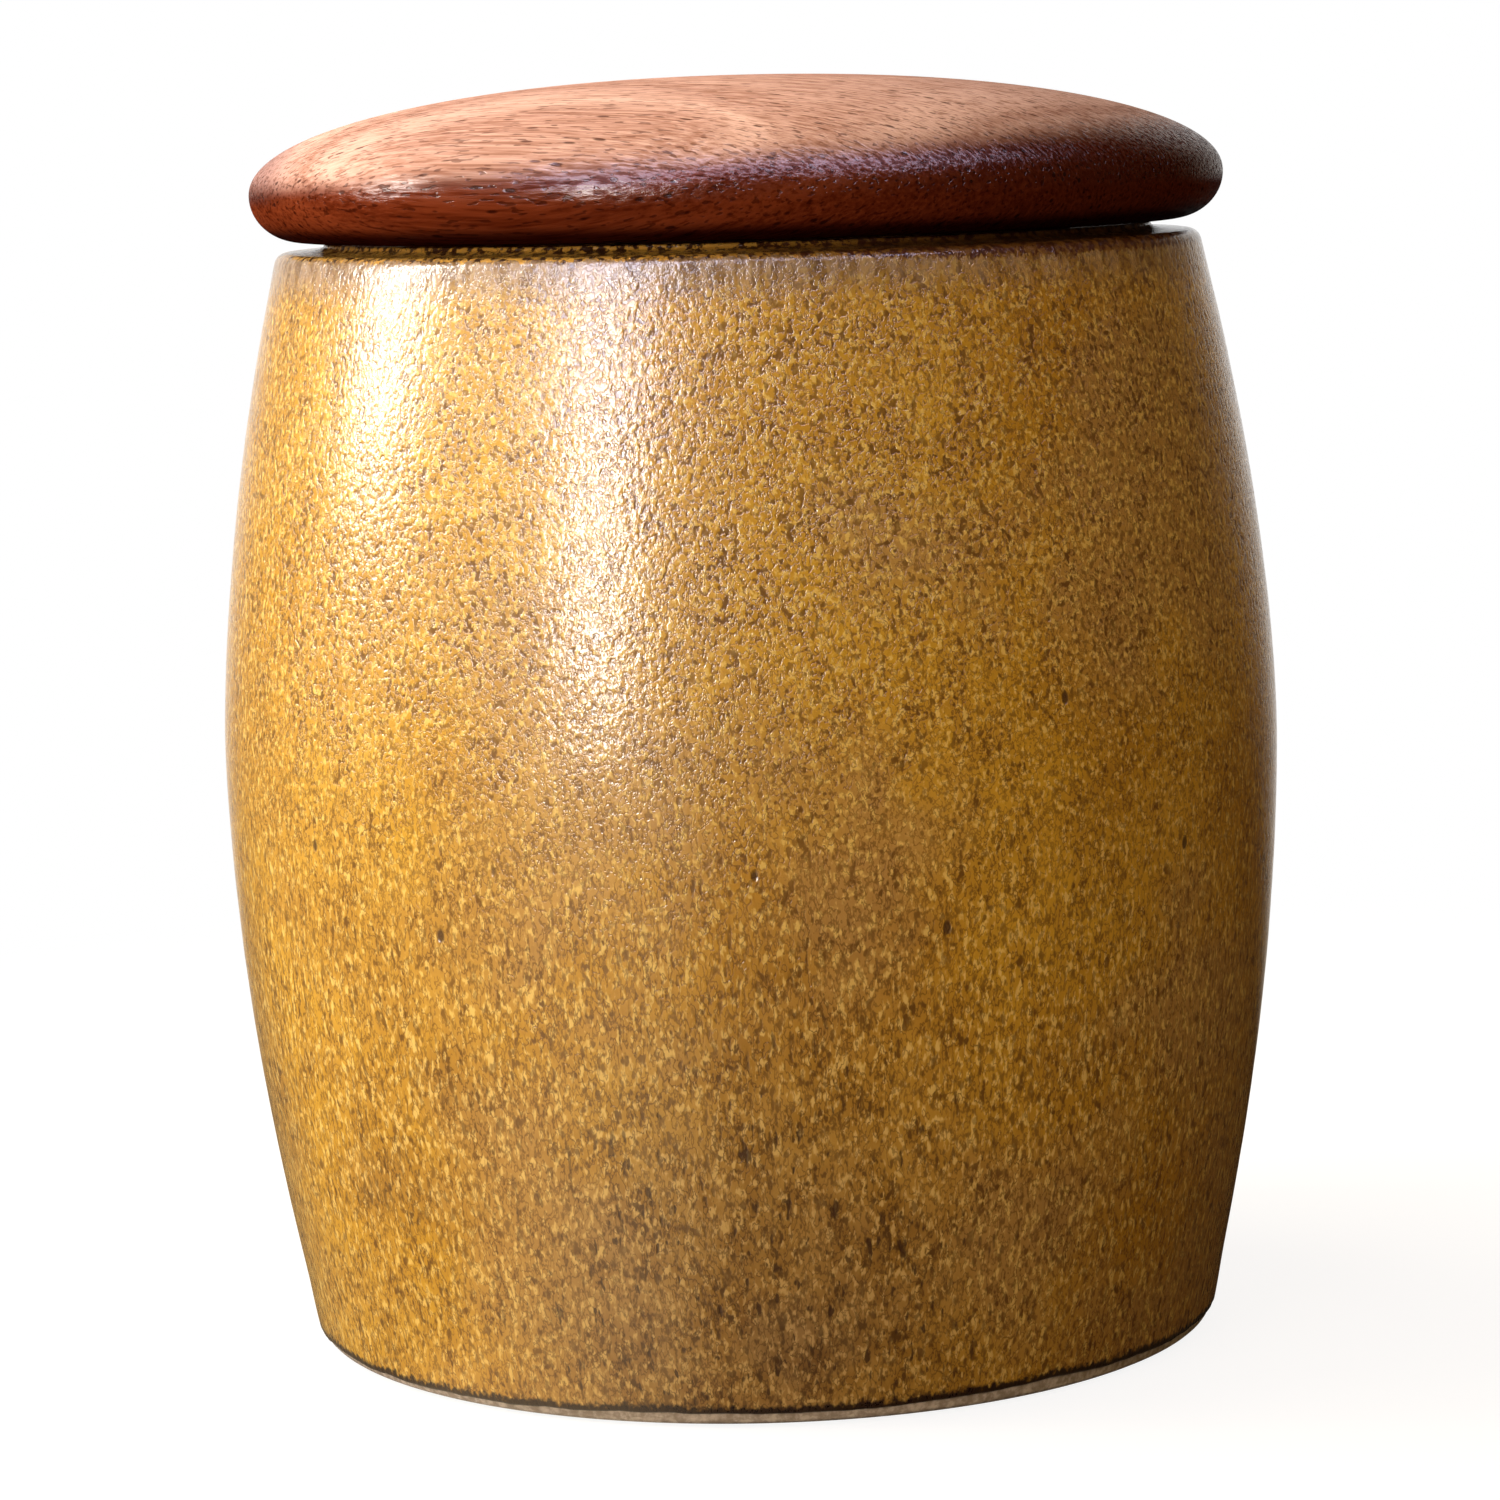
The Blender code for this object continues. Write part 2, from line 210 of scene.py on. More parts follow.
def turned_ring(name, profile, segments, move):
    """A mesh turned about the Z axis from a closed profile that runs down its outer side."""
    points = []
    for radius, height in profile:
        for index in range(segments):
            angle = math.tau * index / segments
            point = Vector((radius * math.cos(angle), radius * math.sin(angle), height))
            points.append(tuple(move(point)))
    faces = []
    for row in range(len(profile)):
        upper = row * segments
        lower = (row + 1) % len(profile) * segments
        for index in range(segments):
            after = (index + 1) % segments
            faces.append((upper + index, lower + index, lower + after, upper + after))
    return made_piece(name, points, faces)


def made_piece(name, points, faces):
    """A smooth-shaded object of points and faces."""
    mesh = bpy.data.meshes.new(name)
    mesh.from_pydata(points, [], faces)
    mesh.validate()
    mesh.shade_smooth()
    piece = bpy.data.objects.new(name, mesh)
    bpy.context.scene.collection.objects.link(piece)
    return piece


def turned(name, profile, segments, move=None):
    """A mesh turned about the Z axis from a profile that starts and ends on the axis.

    The profile runs down the outer side. move(point, row) may shift a point of the surface.
    """
    angles = [math.tau * index / segments for index in range(segments)]
    points = [(0.0, 0.0, profile[0][1])]
    for row, (radius, height) in enumerate(profile[1:-1], start=1):
        for angle in angles:
            point = (radius * math.cos(angle), radius * math.sin(angle), height)
            points.append(move(Vector(point), row) if move else point)
    points.append((0.0, 0.0, profile[-1][1]))
    last = len(points) - 1
    faces = []
    for index in range(segments):
        after = (index + 1) % segments
        faces.append((0, 1 + index, 1 + after))
        bottom = 1 + (len(profile) - 3) * segments
        faces.append((last, bottom + after, bottom + index))
        for row in range(len(profile) - 3):
            upper = 1 + row * segments
            lower = upper + segments
            faces.append((upper + index, lower + index, lower + after, upper + after))
    return made_piece(name, [tuple(point) for point in points], faces)


class Shader:
    """A node material under construction. What makes a pattern returns an output socket."""

    def __init__(self, name):
        self.material = bpy.data.materials.new(name)
        self.material.use_nodes = True
        self.nodes = self.material.node_tree.nodes
        self.links = self.material.node_tree.links
        self.surface = self.nodes["Principled BSDF"]

    @classmethod
    def of_tree(cls, tree):
        """The same methods for a node tree that isn't a material's."""
        made = cls.__new__(cls)
        made.nodes = tree.nodes
        made.links = tree.links
        return made

    def node(self, kind, inputs=(), **settings):
        """A new node, with a value or a socket for each of its inputs."""
        made = self.nodes.new(kind)
        for key, value in settings.items():
            setattr(made, key, value)
        for key, value in dict(inputs).items():
            self.feed(made.inputs[key], value)
        return made

    def feed(self, target, value):
        """Link a socket to the target, or set the target to a value."""
        if isinstance(value, bpy.types.NodeSocket):
            self.links.new(value, target)
        elif value is not None:
            target.default_value = value

    def place(self):
        """The point that is shaded, in metres."""
        return self.node("ShaderNodeTexCoord").outputs["Object"]

    def split(self, vector):
        return self.node("ShaderNodeSeparateXYZ", {0: vector}).outputs

    def stretch(self, vector, scale):
        made = self.node("ShaderNodeMapping", {"Vector": vector, "Scale": scale})
        return made.outputs["Vector"]

    def drawn(self, vector, share):
        """The vector for a pattern drawn out along the height. A small share draws it far."""
        return self.stretch(vector, (1.0, 1.0, share))

    def math(self, operation, first, second=None, clamp=False):
        inputs = {0: first} if second is None else {0: first, 1: second}
        made = self.node("ShaderNodeMath", inputs, operation=operation, use_clamp=clamp)
        return made.outputs[0]

    def times(self, first, second):
        return self.math("MULTIPLY", first, second)

    def plus(self, first, second):
        return self.math("ADD", first, second)

    def minus(self, first, second):
        return self.math("SUBTRACT", first, second)

    def larger(self, first, second):
        return self.math("MAXIMUM", first, second)

    def length(self, first, second):
        """Length of the side across a right angle."""
        squares = self.plus(self.times(first, first), self.times(second, second))
        return self.math("SQRT", squares)

    def shift(self, vector, other, amount):
        """The vector moved by an amount of the other one."""
        scaled = self.node("ShaderNodeVectorMath", {0: other, 3: amount}, operation="SCALE")
        total = self.node("ShaderNodeVectorMath", {0: vector, 1: scaled.outputs[0]})
        return total.outputs[0]

    def noise(self, vector, scale, detail, rough, output="Fac"):
        inputs = {"Vector": vector, "Scale": scale, "Detail": detail, "Roughness": rough}
        return self.node("ShaderNodeTexNoise", inputs).outputs[output]

    def cells(self, vector, scale, feature="F1"):
        """Distance to the middle of a cell, or to what else the feature names."""
        inputs = {"Vector": vector, "Scale": scale}
        made = self.node("ShaderNodeTexVoronoi", inputs, feature=feature)
        return made.outputs["Distance"]

    def span(self, value, low, high, start=0.0, end=1.0):
        """A smooth step from start, at a value of low, to end, at a value of high."""
        inputs = {"Value": value, 1: low, 2: high, 3: start, 4: end}
        made = self.node("ShaderNodeMapRange", inputs, interpolation_type="SMOOTHSTEP")
        return made.outputs[0]

    def blend(self, share, first, second, mode="MIX"):
        """A colour that goes from first to second with the share."""
        made = self.node("ShaderNodeMix", data_type="RGBA", blend_type=mode)
        self.feed(made.inputs[0], share)
        self.feed(made.inputs[6], self.colour(first))
        self.feed(made.inputs[7], self.colour(second))
        return made.outputs[2]

    def mix(self, share, first, second):
        """A value that goes from first to second with the share."""
        made = self.node("ShaderNodeMix", {0: share, 2: first, 3: second})
        return made.outputs[0]

    def colour(self, value):
        """A colour with its alpha, or a socket as it is."""
        return (*value, 1.0) if isinstance(value, tuple) else value

    def finish(self, colour, roughness, height=None, **fixed):
        """Set the surface. Heights are in metres. fixed names other inputs of the surface."""
        self.feed(self.surface.inputs["Base Color"], colour)
        self.feed(self.surface.inputs["Roughness"], roughness)
        if height is not None:
            relief = {"Height": height, "Strength": 1.0, "Distance": 1.0}
            bump = self.node("ShaderNodeBump", relief)
            self.links.new(bump.outputs[0], self.surface.inputs["Normal"])
            self.links.new(bump.outputs[0], self.surface.inputs["Coat Normal"])
        for key, value in fixed.items():
            self.feed(self.surface.inputs[key.replace("_", " ")], value)
        return self.material


# Jar: its mesh

# Lower edge of the glaze: its reach up the wall, its dip on the left, and its waves
GLAZE_EDGE_REACH = 0.0080
GLAZE_EDGE_FADE = 0.0024
EDGE_DROP = 0.0003
EDGE_DIP = 0.0006
EDGE_DIP_TURN = 0.35
EDGE_DIP_SPAN = (0.02, 0.055)
EDGE_SLOW_SCALE = 28.0
EDGE_SLOW_HEIGHT = 0.00040
EDGE_FINE_SCALE = 170.0
EDGE_FINE_HEIGHT = 0.00022
EDGE_FINER_SCALE = 480.0
EDGE_FINER_SHARE = 0.6

# Waves in the wall
RING_WAVE_SCALE = 95.0
RING_WAVE_DEPTH = 0.00007
DRIFT_WAVE_SCALE = 24.0
DRIFT_WAVE_DEPTH = 0.00012
PEBBLE_WAVE_SCALE = 330.0
PEBBLE_WAVE_DEPTH = 0.00003
PEBBLE_WAVE_STRETCH = 0.8
WAVES_START = (0.004, 0.012)

# Height above the glaze's edge where a point isn't on the outer wall, and the least radius
# of a point that is
FAR_ABOVE = 0.05
FAR_BELOW = -0.01
WALL_LEAST_RADIUS = 0.0585


def glaze_edge_shift(point):
    """How far the lower edge of the glaze lies above its mean height, round the foot."""
    around = Vector((point.x, point.y, 0.0))
    slow = noise.noise(around * EDGE_SLOW_SCALE)
    finer = noise.noise(around * EDGE_FINER_SCALE)
    fine = noise.noise(around * EDGE_FINE_SCALE) + EDGE_FINER_SHARE * finer
    dip = -EDGE_DIP * smooth(-point.x - EDGE_DIP_TURN * point.y, *EDGE_DIP_SPAN)
    return dip - EDGE_DROP + EDGE_SLOW_HEIGHT * slow + EDGE_FINE_HEIGHT * fine


def throwing_marks(point):
    """Depth of the faint waves that turning and glazing leave in the wall."""
    ring = RING_WAVE_DEPTH * noise.noise(Vector((0.0, 0.0, point.z * RING_WAVE_SCALE)))
    drift = DRIFT_WAVE_DEPTH * noise.noise(point * DRIFT_WAVE_SCALE)
    drawn = Vector((point.x, point.y, point.z * PEBBLE_WAVE_STRETCH))
    pebble = PEBBLE_WAVE_DEPTH * noise.noise(drawn * PEBBLE_WAVE_SCALE)
    return abs(ring + drift) + abs(pebble)


def jar_profile():
    """Points of the jar from the middle of its floor over the rim to the recess below."""
    fillet_top = FLOOR_HEIGHT + FLOOR_FILLET
    fillet_radius = wall_radius(fillet_top) - WALL - FLOOR_FILLET
    lip = MOUTH_LOWER_ROUNDING
    ceiling_height = JAR_HEIGHT - MOUTH_DEPTH - CEILING_DROP
    ceiling_centre = (MOUTH_RADIUS + lip, ceiling_height)
    ceiling_reach = wall_radius(ceiling_height) - WALL - MOUTH_RADIUS - lip
    mouth_bottom = JAR_HEIGHT - MOUTH_DEPTH
    rim_height = JAR_HEIGHT - RIM_INNER_ROUNDING
    rim_radius = MOUTH_RADIUS + RIM_INNER_ROUNDING
    edge = RIM_OUTER_ROUNDING
    flare_top = JAR_HEIGHT - edge
    inside = joined(
        line((0.0, FLOOR_HEIGHT), (fillet_radius, FLOOR_HEIGHT), STEP_BROAD),
        arc((fillet_radius, fillet_top), (FLOOR_FILLET, FLOOR_FILLET), -90, 0, STEP_FILLET),
        wall(ceiling_height, fillet_top, -WALL, STEP_INNER_WALL)[::-1],
        arc(ceiling_centre, (ceiling_reach, CEILING_DROP), 0, 90, STEP_CEILING),
        arc((MOUTH_RADIUS + lip, mouth_bottom + lip), (lip, lip), 270, 180, STEP_BEND),
        line((MOUTH_RADIUS, mouth_bottom + lip), (MOUTH_RADIUS, rim_height), STEP_FACE),
        arc((rim_radius, rim_height), (RIM_INNER_ROUNDING,) * 2, 180, 90, STEP_ROUNDING),
    )
    centre_height = SHOULDER_HEIGHT - SHOULDER_ROUNDING
    rise = SHOULDER_HEIGHT - BELLY_HEIGHT
    reach = (centre_height - BELLY_HEIGHT) / rise
    slope = SHOULDER_INSET / rise * UPPER_CURVE_POWER
    lean = math.atan(slope * reach ** (UPPER_CURVE_POWER - 1))
    touch = centre_height + SHOULDER_ROUNDING * math.sin(lean)
    shoulder = (wall_radius(touch) - SHOULDER_ROUNDING * math.cos(lean), centre_height)
    flare = (NECK_FLARE, flare_top - SHOULDER_HEIGHT)
    neck = joined(
        line((rim_radius, JAR_HEIGHT), (NECK_RADIUS - edge, JAR_HEIGHT), STEP_FINE),
        arc((NECK_RADIUS - edge, flare_top), (edge, edge), 90, 0, STEP_EDGE),
        arc((NECK_RADIUS + NECK_FLARE, flare_top), flare, 180, 270, STEP_ROUNDING),
        arc(shoulder, (SHOULDER_ROUNDING,) * 2, 90, math.degrees(lean), STEP_BEND),
    )
    glaze_edge = BARE_FOOT_HEIGHT + GLAZE_STEP
    outside = joined(
        wall(touch, GLAZE_EDGE_REACH, 0.0, STEP_WALL),
        wall(GLAZE_EDGE_REACH, glaze_edge, 0.0, STEP_ROUNDING),
    )
    foot_radius = wall_radius(FOOT_ROUNDING) - GLAZE_STEP
    foot_centre = (foot_radius - FOOT_ROUNDING, FOOT_ROUNDING)
    ring_inner = foot_centre[0] - FOOT_RING_WIDTH
    recess_edge = ring_inner - FOOT_RECESS_SLOPE
    glaze_centre = (wall_radius(glaze_edge) - GLAZE_STEP, glaze_edge)
    foot = joined(
        arc(glaze_centre, (GLAZE_STEP, GLAZE_STEP), 0, -90, STEP_EDGE),
        wall(BARE_FOOT_HEIGHT, FOOT_ROUNDING, -GLAZE_STEP, STEP_LIP),
        arc(foot_centre, (FOOT_ROUNDING, FOOT_ROUNDING), 0, -90, STEP_LIP),
        line((foot_centre[0], 0.0), (ring_inner, 0.0), STEP_FLAT),
        line((ring_inner, 0.0), (recess_edge, FOOT_RECESS), STEP_FACE),
        line((recess_edge, FOOT_RECESS), (0.0, FOOT_RECESS), STEP_RECESS),
    )
    first_outer = len(inside) + len(neck)
    return joined(inside, neck, outside, foot), first_outer


def build_jar():
    profile, first_outer = jar_profile()
    above_edge = [FAR_ABOVE]

    def move(point, row):
        """Uneven edge of the glaze, and faint waves in the wall above it."""
        outward = Vector((point.x, point.y, 0.0)).normalized()
        radius, height = profile[row]
        if row < first_outer:
            above_edge.append(FAR_ABOVE)
            return point
        fade = 1 - smooth(height, GLAZE_EDGE_FADE, GLAZE_EDGE_REACH)
        fade = smooth(height, 0.0, BARE_FOOT_HEIGHT) * fade
        shift = glaze_edge_shift(point) * fade
        on_wall = radius > WALL_LEAST_RADIUS
        above_edge.append(height - BARE_FOOT_HEIGHT if on_wall else FAR_BELOW)
        point.z += shift
        depth = throwing_marks(point) * smooth(height, *WAVES_START)
        return point - outward * depth

    jar = turned("stoneware_jar", profile, SEGMENTS, move)
    above_edge.append(FAR_BELOW)
    height = jar.data.attributes.new("above_edge", "FLOAT", "POINT")
    height.data.foreach_set("value", np.array(above_edge, np.float32))
    jar.data.materials.append(glaze_material())
    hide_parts("jar_body")
    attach(jar, "jar")


# Jar: its glaze. A noise is given as its scale per metre, detail and roughness, and a span
# as its start and end, then the values before the start and past the end

DRIFT_NOISE = (26.0, 3.0, 0.55)
CLUSTER_NOISE = (260.0, 3.0, 0.6)
PEBBLE_NOISE = (1400.0, 2.0, 0.50)
DASH_NOISE = (1000.0, 2.0, 0.50)
SPECK_NOISE = (1000.0, 3.0, 0.60)
TRICKLE_NOISE = (620.0, 2.0, 0.5)
CLAY_NOISE = (900.0, 3.0, 0.6)
SPOT_SCALE = 130.0

# Share of a pattern's scale along the height, where the glaze ran down
SMUDGE_STRETCH = 0.8
PEBBLE_STRETCH = 0.80
RUN_STRETCH = 0.45
CLUSTER_STRETCH = 0.7
DASH_STRETCH = 0.30
SPOT_STRETCH = 0.6
TRICKLE_STRETCH = 0.16

# Spans of a place or a distance, in metres
LOW_WALL = (0.100, 0.030)
SMUDGE_PLACE = (0.000, -0.066, 0.010)
SMUDGE_REACH = (0.061, 0.022)
PATCHES_SIDE = (0.055, 0.020)
RUN_HEIGHTS = (0.105, 0.045, 0.0, 0.85)
SALLOW_SIDE = (-0.052, -0.010, 0.25, 1.0)
FOOT_PAINTED_SHADE_HEIGHTS = (0.042, 0.010)
CREST_HEIGHTS = (0.14345, 0.14380)
CREST_SINKING = (0.0, 0.034, 0.0, 0.0011)
CREST_SHADE_SIDE = (-0.012, 0.026, 0.0, 0.80)
VEIL_HEIGHTS = (0.1370, 0.1430)
VEIL_SIDE = (0.005, 0.035, 0.78, 0.60)
DARK_EDGE = (0.0014, 0.0006)
BARE_CLAY = (0.00004, -0.00010)
RELIEF_HEIGHTS = (0.110, 0.030)

# Raggedness and relief, in metres
SMUDGE_RAGGEDNESS = 0.030
CREST_RAGGEDNESS = 0.0020
EDGE_RAGGEDNESS = 0.0022
PEBBLE_DEPTH = 0.00008
LOW_PEBBLE_SHARE = 0.6
SPOT_DEPTH = 0.00012
DASH_DEPTH = 0.00003
CLAY_DEPTH = 0.00012

# Spans of a noise, whose mean is about a half, of the sum of two, or of a cell's distance
PATCHES = (0.46, 0.70, 0.0, 0.40)
HOLLOW = (0.48, 0.37)
WORM_MIDDLE = 0.47
WORM = (0.050, 0.008)
CREASE_CLUSTERS = (0.35, 0.62, 1.0, 0.70)
BEAD = (0.50, 0.63)
DASH_ON_BROWN = (0.0, 0.6, 0.30, 1.0)
DASH_CLUSTERS = (0.35, 0.60, 0.42, 0.35)
DASH_END = 0.30
BLOTCH = (0.34, 0.64)
BLOTCH_FADE = (1.0, 0.0, 0.0, 0.35)
GOLD_DRIFT = (0.35, 0.65)
SALLOW = (0.44, 0.60, 0.0, 0.70)
RARE_SPOTS = (0.86, 0.88)
SPOT = (0.085, 0.045)
SPECK = (0.45, 0.55)
TRICKLE = (0.42, 0.58)
CLAY_TONE = (0.35, 0.70)
SKIN_ROUGHNESS = (0.75, 1.25, 0.42, 0.32)
CLAY_ROUGHNESS = 0.85

# How strongly a pattern shows
SMUDGE_SHARE = 0.70
WORM_SHARE = 0.80
BEAD_HIGHLIGHT_SHARE = 0.85
CREASE_SHADE_SHARE = 0.95
CREASE_RELIEF = 0.45
DASH_SHARE = 0.85
SPOT_SHARE = 0.85
EDGE_SHARE = 0.97

# Colours of the glaze and the clay. The bead and crease colours are partly painted highlight
# and painted shade, and the foot and shaded rust colours are painted shade
GOLD = (0.67, 0.350, 0.022)
DEEP_GOLD = (0.55, 0.260, 0.010)
BLOTCH_GOLD = (0.40, 0.175, 0.012)
SALLOW_GOLD = (0.49, 0.262, 0.083)
GOLD_BEAD_HIGHLIGHT = (0.88, 0.57, 0.150)
GOLD_CREASE_SHADE = (0.155, 0.060, 0.003)
DARK_TAN = (0.21, 0.100, 0.028)
TAN = (0.34, 0.190, 0.070)
TAN_BEAD_HIGHLIGHT = (0.60, 0.370, 0.150)
TAN_CREASE_SHADE = (0.066, 0.028, 0.006)
DASH_COLOUR = (0.045, 0.016, 0.005)
SPOT_COLOUR = (0.050, 0.018, 0.008)
FOOT_PAINTED_SHADE = (0.90, 0.87, 0.80)
DARK_RUST = (0.045, 0.012, 0.004)
LIGHT_RUST = (0.72, 0.37, 0.065)
SHADED_RUST = (0.100, 0.026, 0.008)
DARK_VEIL = (0.16, 0.086, 0.050)
LIGHT_VEIL = (0.38, 0.26, 0.19)
EDGE_COLOUR = (0.016, 0.005, 0.003)
DARK_CLAY = (0.33, 0.25, 0.20)
LIGHT_CLAY = (0.62, 0.50, 0.43)

GLAZE_COAT = {
    "Specular_IOR_Level": 0.3,
    "Coat_Weight": 1.0,
    "Coat_Roughness": 0.12,
    "Coat_IOR": 1.9,
}


def glaze_material():
    """Satin mustard glaze over brown stoneware, breaking to rust at the shoulder."""
    s = Shader("mustard_glaze")
    place = s.place()
    x, y, z = s.split(place)
    above = s.node("ShaderNodeAttribute", attribute_name="above_edge").outputs["Fac"]
    low = s.span(z, *LOW_WALL)

    # Broad drift between golden and browner glaze, and the smudge low on the front
    drifts = s.split(s.noise(place, *DRIFT_NOISE, output="Color"))
    drift = drifts[0]
    ends = {0: s.drawn(place, SMUDGE_STRETCH), 1: SMUDGE_PLACE}
    front = s.node("ShaderNodeVectorMath", ends, operation="DISTANCE")
    reach = s.plus(front.outputs["Value"], s.times(drift, SMUDGE_RAGGEDNESS))
    smudge = s.span(reach, *SMUDGE_REACH)
    patches = s.times(low, s.span(drift, *PATCHES))
    patches = s.times(patches, s.span(x, *PATCHES_SIDE))
    brown = s.math("ADD", patches, s.times(smudge, SMUDGE_SHARE), clamp=True)

    # Pebbled skin, drawn out where the glaze ran down
    pebble = s.split(s.noise(s.drawn(place, PEBBLE_STRETCH), *PEBBLE_NOISE, output="Color"))
    run = s.split(s.noise(s.drawn(place, RUN_STRETCH), *PEBBLE_NOISE, output="Color"))
    ran = s.span(z, *RUN_HEIGHTS)
    hollow = s.mix(ran, pebble[0], run[0])
    bead = s.mix(ran, pebble[1], run[1])
    worm_side = s.math("ABSOLUTE", s.minus(s.mix(ran, pebble[2], run[2]), WORM_MIDDLE))
    worm = s.span(worm_side, *WORM)
    cluster = s.noise(s.drawn(place, CLUSTER_STRETCH), *CLUSTER_NOISE)
    valley = s.larger(s.span(hollow, *HOLLOW), s.times(worm, WORM_SHARE))
    valley = s.times(valley, s.span(cluster, *CREASE_CLUSTERS))
    peak = s.span(bead, *BEAD)
    dash = s.noise(s.drawn(place, DASH_STRETCH), *DASH_NOISE)
    where = s.times(low, s.span(brown, *DASH_ON_BROWN))
    dash = s.times(s.span(dash, s.span(cluster, *DASH_CLUSTERS), DASH_END), where)

    blotch = s.span(cluster, *BLOTCH)
    tan = s.blend(blotch, DARK_TAN, TAN)
    gold = s.blend(s.span(drift, *GOLD_DRIFT), GOLD, DEEP_GOLD)
    gold = s.blend(s.span(blotch, *BLOTCH_FADE), gold, BLOTCH_GOLD)
    sallow = s.times(s.span(drifts[1], *SALLOW), s.span(x, *SALLOW_SIDE))
    gold = s.blend(sallow, gold, SALLOW_GOLD)
    colour = s.blend(brown, gold, tan)
    # Lighter glaze on the beads, partly a painted highlight on the pebble tops
    bead_highlight = s.blend(brown, GOLD_BEAD_HIGHLIGHT, TAN_BEAD_HIGHLIGHT)
    colour = s.blend(s.times(peak, BEAD_HIGHLIGHT_SHARE), colour, bead_highlight)
    # Darker glaze in the creases, partly a painted shade in the valleys of the relief
    dark = s.blend(brown, GOLD_CREASE_SHADE, TAN_CREASE_SHADE)
    colour = s.blend(s.times(valley, CREASE_SHADE_SHARE), colour, dark)
    colour = s.blend(s.times(dash, DASH_SHARE), colour, DASH_COLOUR)
    # Painted shade: the glaze darkens towards the bottom of the wall
    colour = s.blend(s.span(z, *FOOT_PAINTED_SHADE_HEIGHTS), colour, FOOT_PAINTED_SHADE, "MULTIPLY")

    # Sparse dark iron spots
    cells = {"Vector": s.drawn(place, SPOT_STRETCH), "Scale": SPOT_SCALE}
    spot_cells = s.node("ShaderNodeTexVoronoi", cells)
    rare = s.span(s.split(spot_cells.outputs["Color"])[0], *RARE_SPOTS)
    spot = s.times(s.span(spot_cells.outputs["Distance"], *SPOT), rare)
    colour = s.blend(s.times(spot, SPOT_SHARE), colour, SPOT_COLOUR)

    # Thin glaze on the shoulder and rim lets the brown body through, and on the right a painted
    # shade under the lid darkens the rust and carries it lower
    ragged = s.plus(z, s.times(s.minus(run[0], 0.5), CREST_RAGGEDNESS))
    # Painted shade under the lid: the rust band reaches lower on the right
    sunk = s.plus(ragged, s.span(x, *CREST_SINKING))
    crest = s.span(sunk, *CREST_HEIGHTS)
    speck = s.noise(place, *SPECK_NOISE)
    rust = s.blend(s.span(speck, *SPECK), DARK_RUST, LIGHT_RUST)
    # Painted shade on the rust under the lid, to the right
    rust = s.blend(s.span(x, *CREST_SHADE_SIDE), rust, SHADED_RUST)
    colour = s.blend(crest, colour, rust)
    trickle = s.noise(s.drawn(place, TRICKLE_STRETCH), *TRICKLE_NOISE)
    thin = s.blend(s.span(trickle, *TRICKLE), DARK_VEIL, LIGHT_VEIL)
    veil = s.times(s.span(ragged, *VEIL_HEIGHTS), s.minus(1.0, crest))
    colour = s.blend(s.times(veil, s.span(x, *VEIL_SIDE)), colour, thin)

    # Dark lower edge of the glaze, and the bare clay foot below it
    rough_edge = s.plus(above, s.times(s.minus(pebble[0], 0.5), EDGE_RAGGEDNESS))
    edge = s.times(s.span(rough_edge, *DARK_EDGE), EDGE_SHARE)
    colour = s.blend(edge, colour, EDGE_COLOUR)
    clay_grain = s.noise(place, *CLAY_NOISE)
    clay = s.blend(s.span(clay_grain, *CLAY_TONE), DARK_CLAY, LIGHT_CLAY)
    bare = s.span(above, *BARE_CLAY)
    colour = s.blend(bare, colour, clay)

    skin = s.plus(hollow, bead)
    relief = s.minus(skin, s.times(valley, CREASE_RELIEF))
    depths = (PEBBLE_DEPTH, PEBBLE_DEPTH * LOW_PEBBLE_SHARE)
    depth = s.times(relief, s.span(z, *RELIEF_HEIGHTS, *depths))
    pits = s.plus(s.times(spot, -SPOT_DEPTH), s.times(dash, -DASH_DEPTH))
    height = s.mix(bare, s.plus(depth, pits), s.times(clay_grain, CLAY_DEPTH))
    roughness = s.mix(bare, s.span(skin, *SKIN_ROUGHNESS), CLAY_ROUGHNESS)
    return s.finish(colour, roughness, height, **GLAZE_COAT)


# Lid


def lid_profile():
    """Points of the lid from its crown to the middle of its recess."""
    points = []
    for step in range(DOME_STEPS + 1):
        angle = math.radians(90 - 90 * step / DOME_STEPS)
        radius = LID_RADIUS * max(math.cos(angle), 0.0) ** (2 / LID_DOME_POWER)
        rise = LID_DOME_HEIGHT * max(math.sin(angle), 0.0) ** (2 / LID_DOME_POWER)
        points.append((radius, LID_EDGE_HEIGHT + rise))
    points[0] = (0.0, LID_EDGE_HEIGHT + LID_DOME_HEIGHT)
    edge = (LID_RADIUS - LID_EDGE_UNDERCUT, LID_EDGE_HEIGHT)
    lip = PLUG_EDGE_ROUNDING
    lip_centre = (PLUG_LIP_RADIUS - lip, lip - PLUG_DEPTH)
    recess_top = RECESS_DEPTH - PLUG_DEPTH
    groove = -SEAL_GROOVE_HEIGHT
    points = joined(
        points,
        arc(edge, (LID_EDGE_UNDERCUT, LID_EDGE_HEIGHT), 0, -90, STEP_ROUNDING),
        line((edge[0], 0.0), (PLUG_CORE_RADIUS, 0.0), STEP_FACE),
        line((PLUG_CORE_RADIUS, 0.0), (PLUG_CORE_RADIUS, groove), STEP_FLAT),
        line((PLUG_CORE_RADIUS, groove), (PLUG_LIP_RADIUS, groove), STEP_FINE),
        line((PLUG_LIP_RADIUS, groove), (PLUG_LIP_RADIUS, lip_centre[1]), STEP_PLUG),
        arc(lip_centre, (lip, lip), 0, -90, STEP_LIP),
        line((lip_centre[0], -PLUG_DEPTH), (RECESS_RADIUS, -PLUG_DEPTH), STEP_FLAT),
        line((RECESS_RADIUS, -PLUG_DEPTH), (RECESS_RADIUS, recess_top), STEP_FLAT),
        line((RECESS_RADIUS, recess_top), (0.0, recess_top), STEP_BROAD),
    )
    return [(radius, LID_UNDERSIDE + height) for radius, height in points]


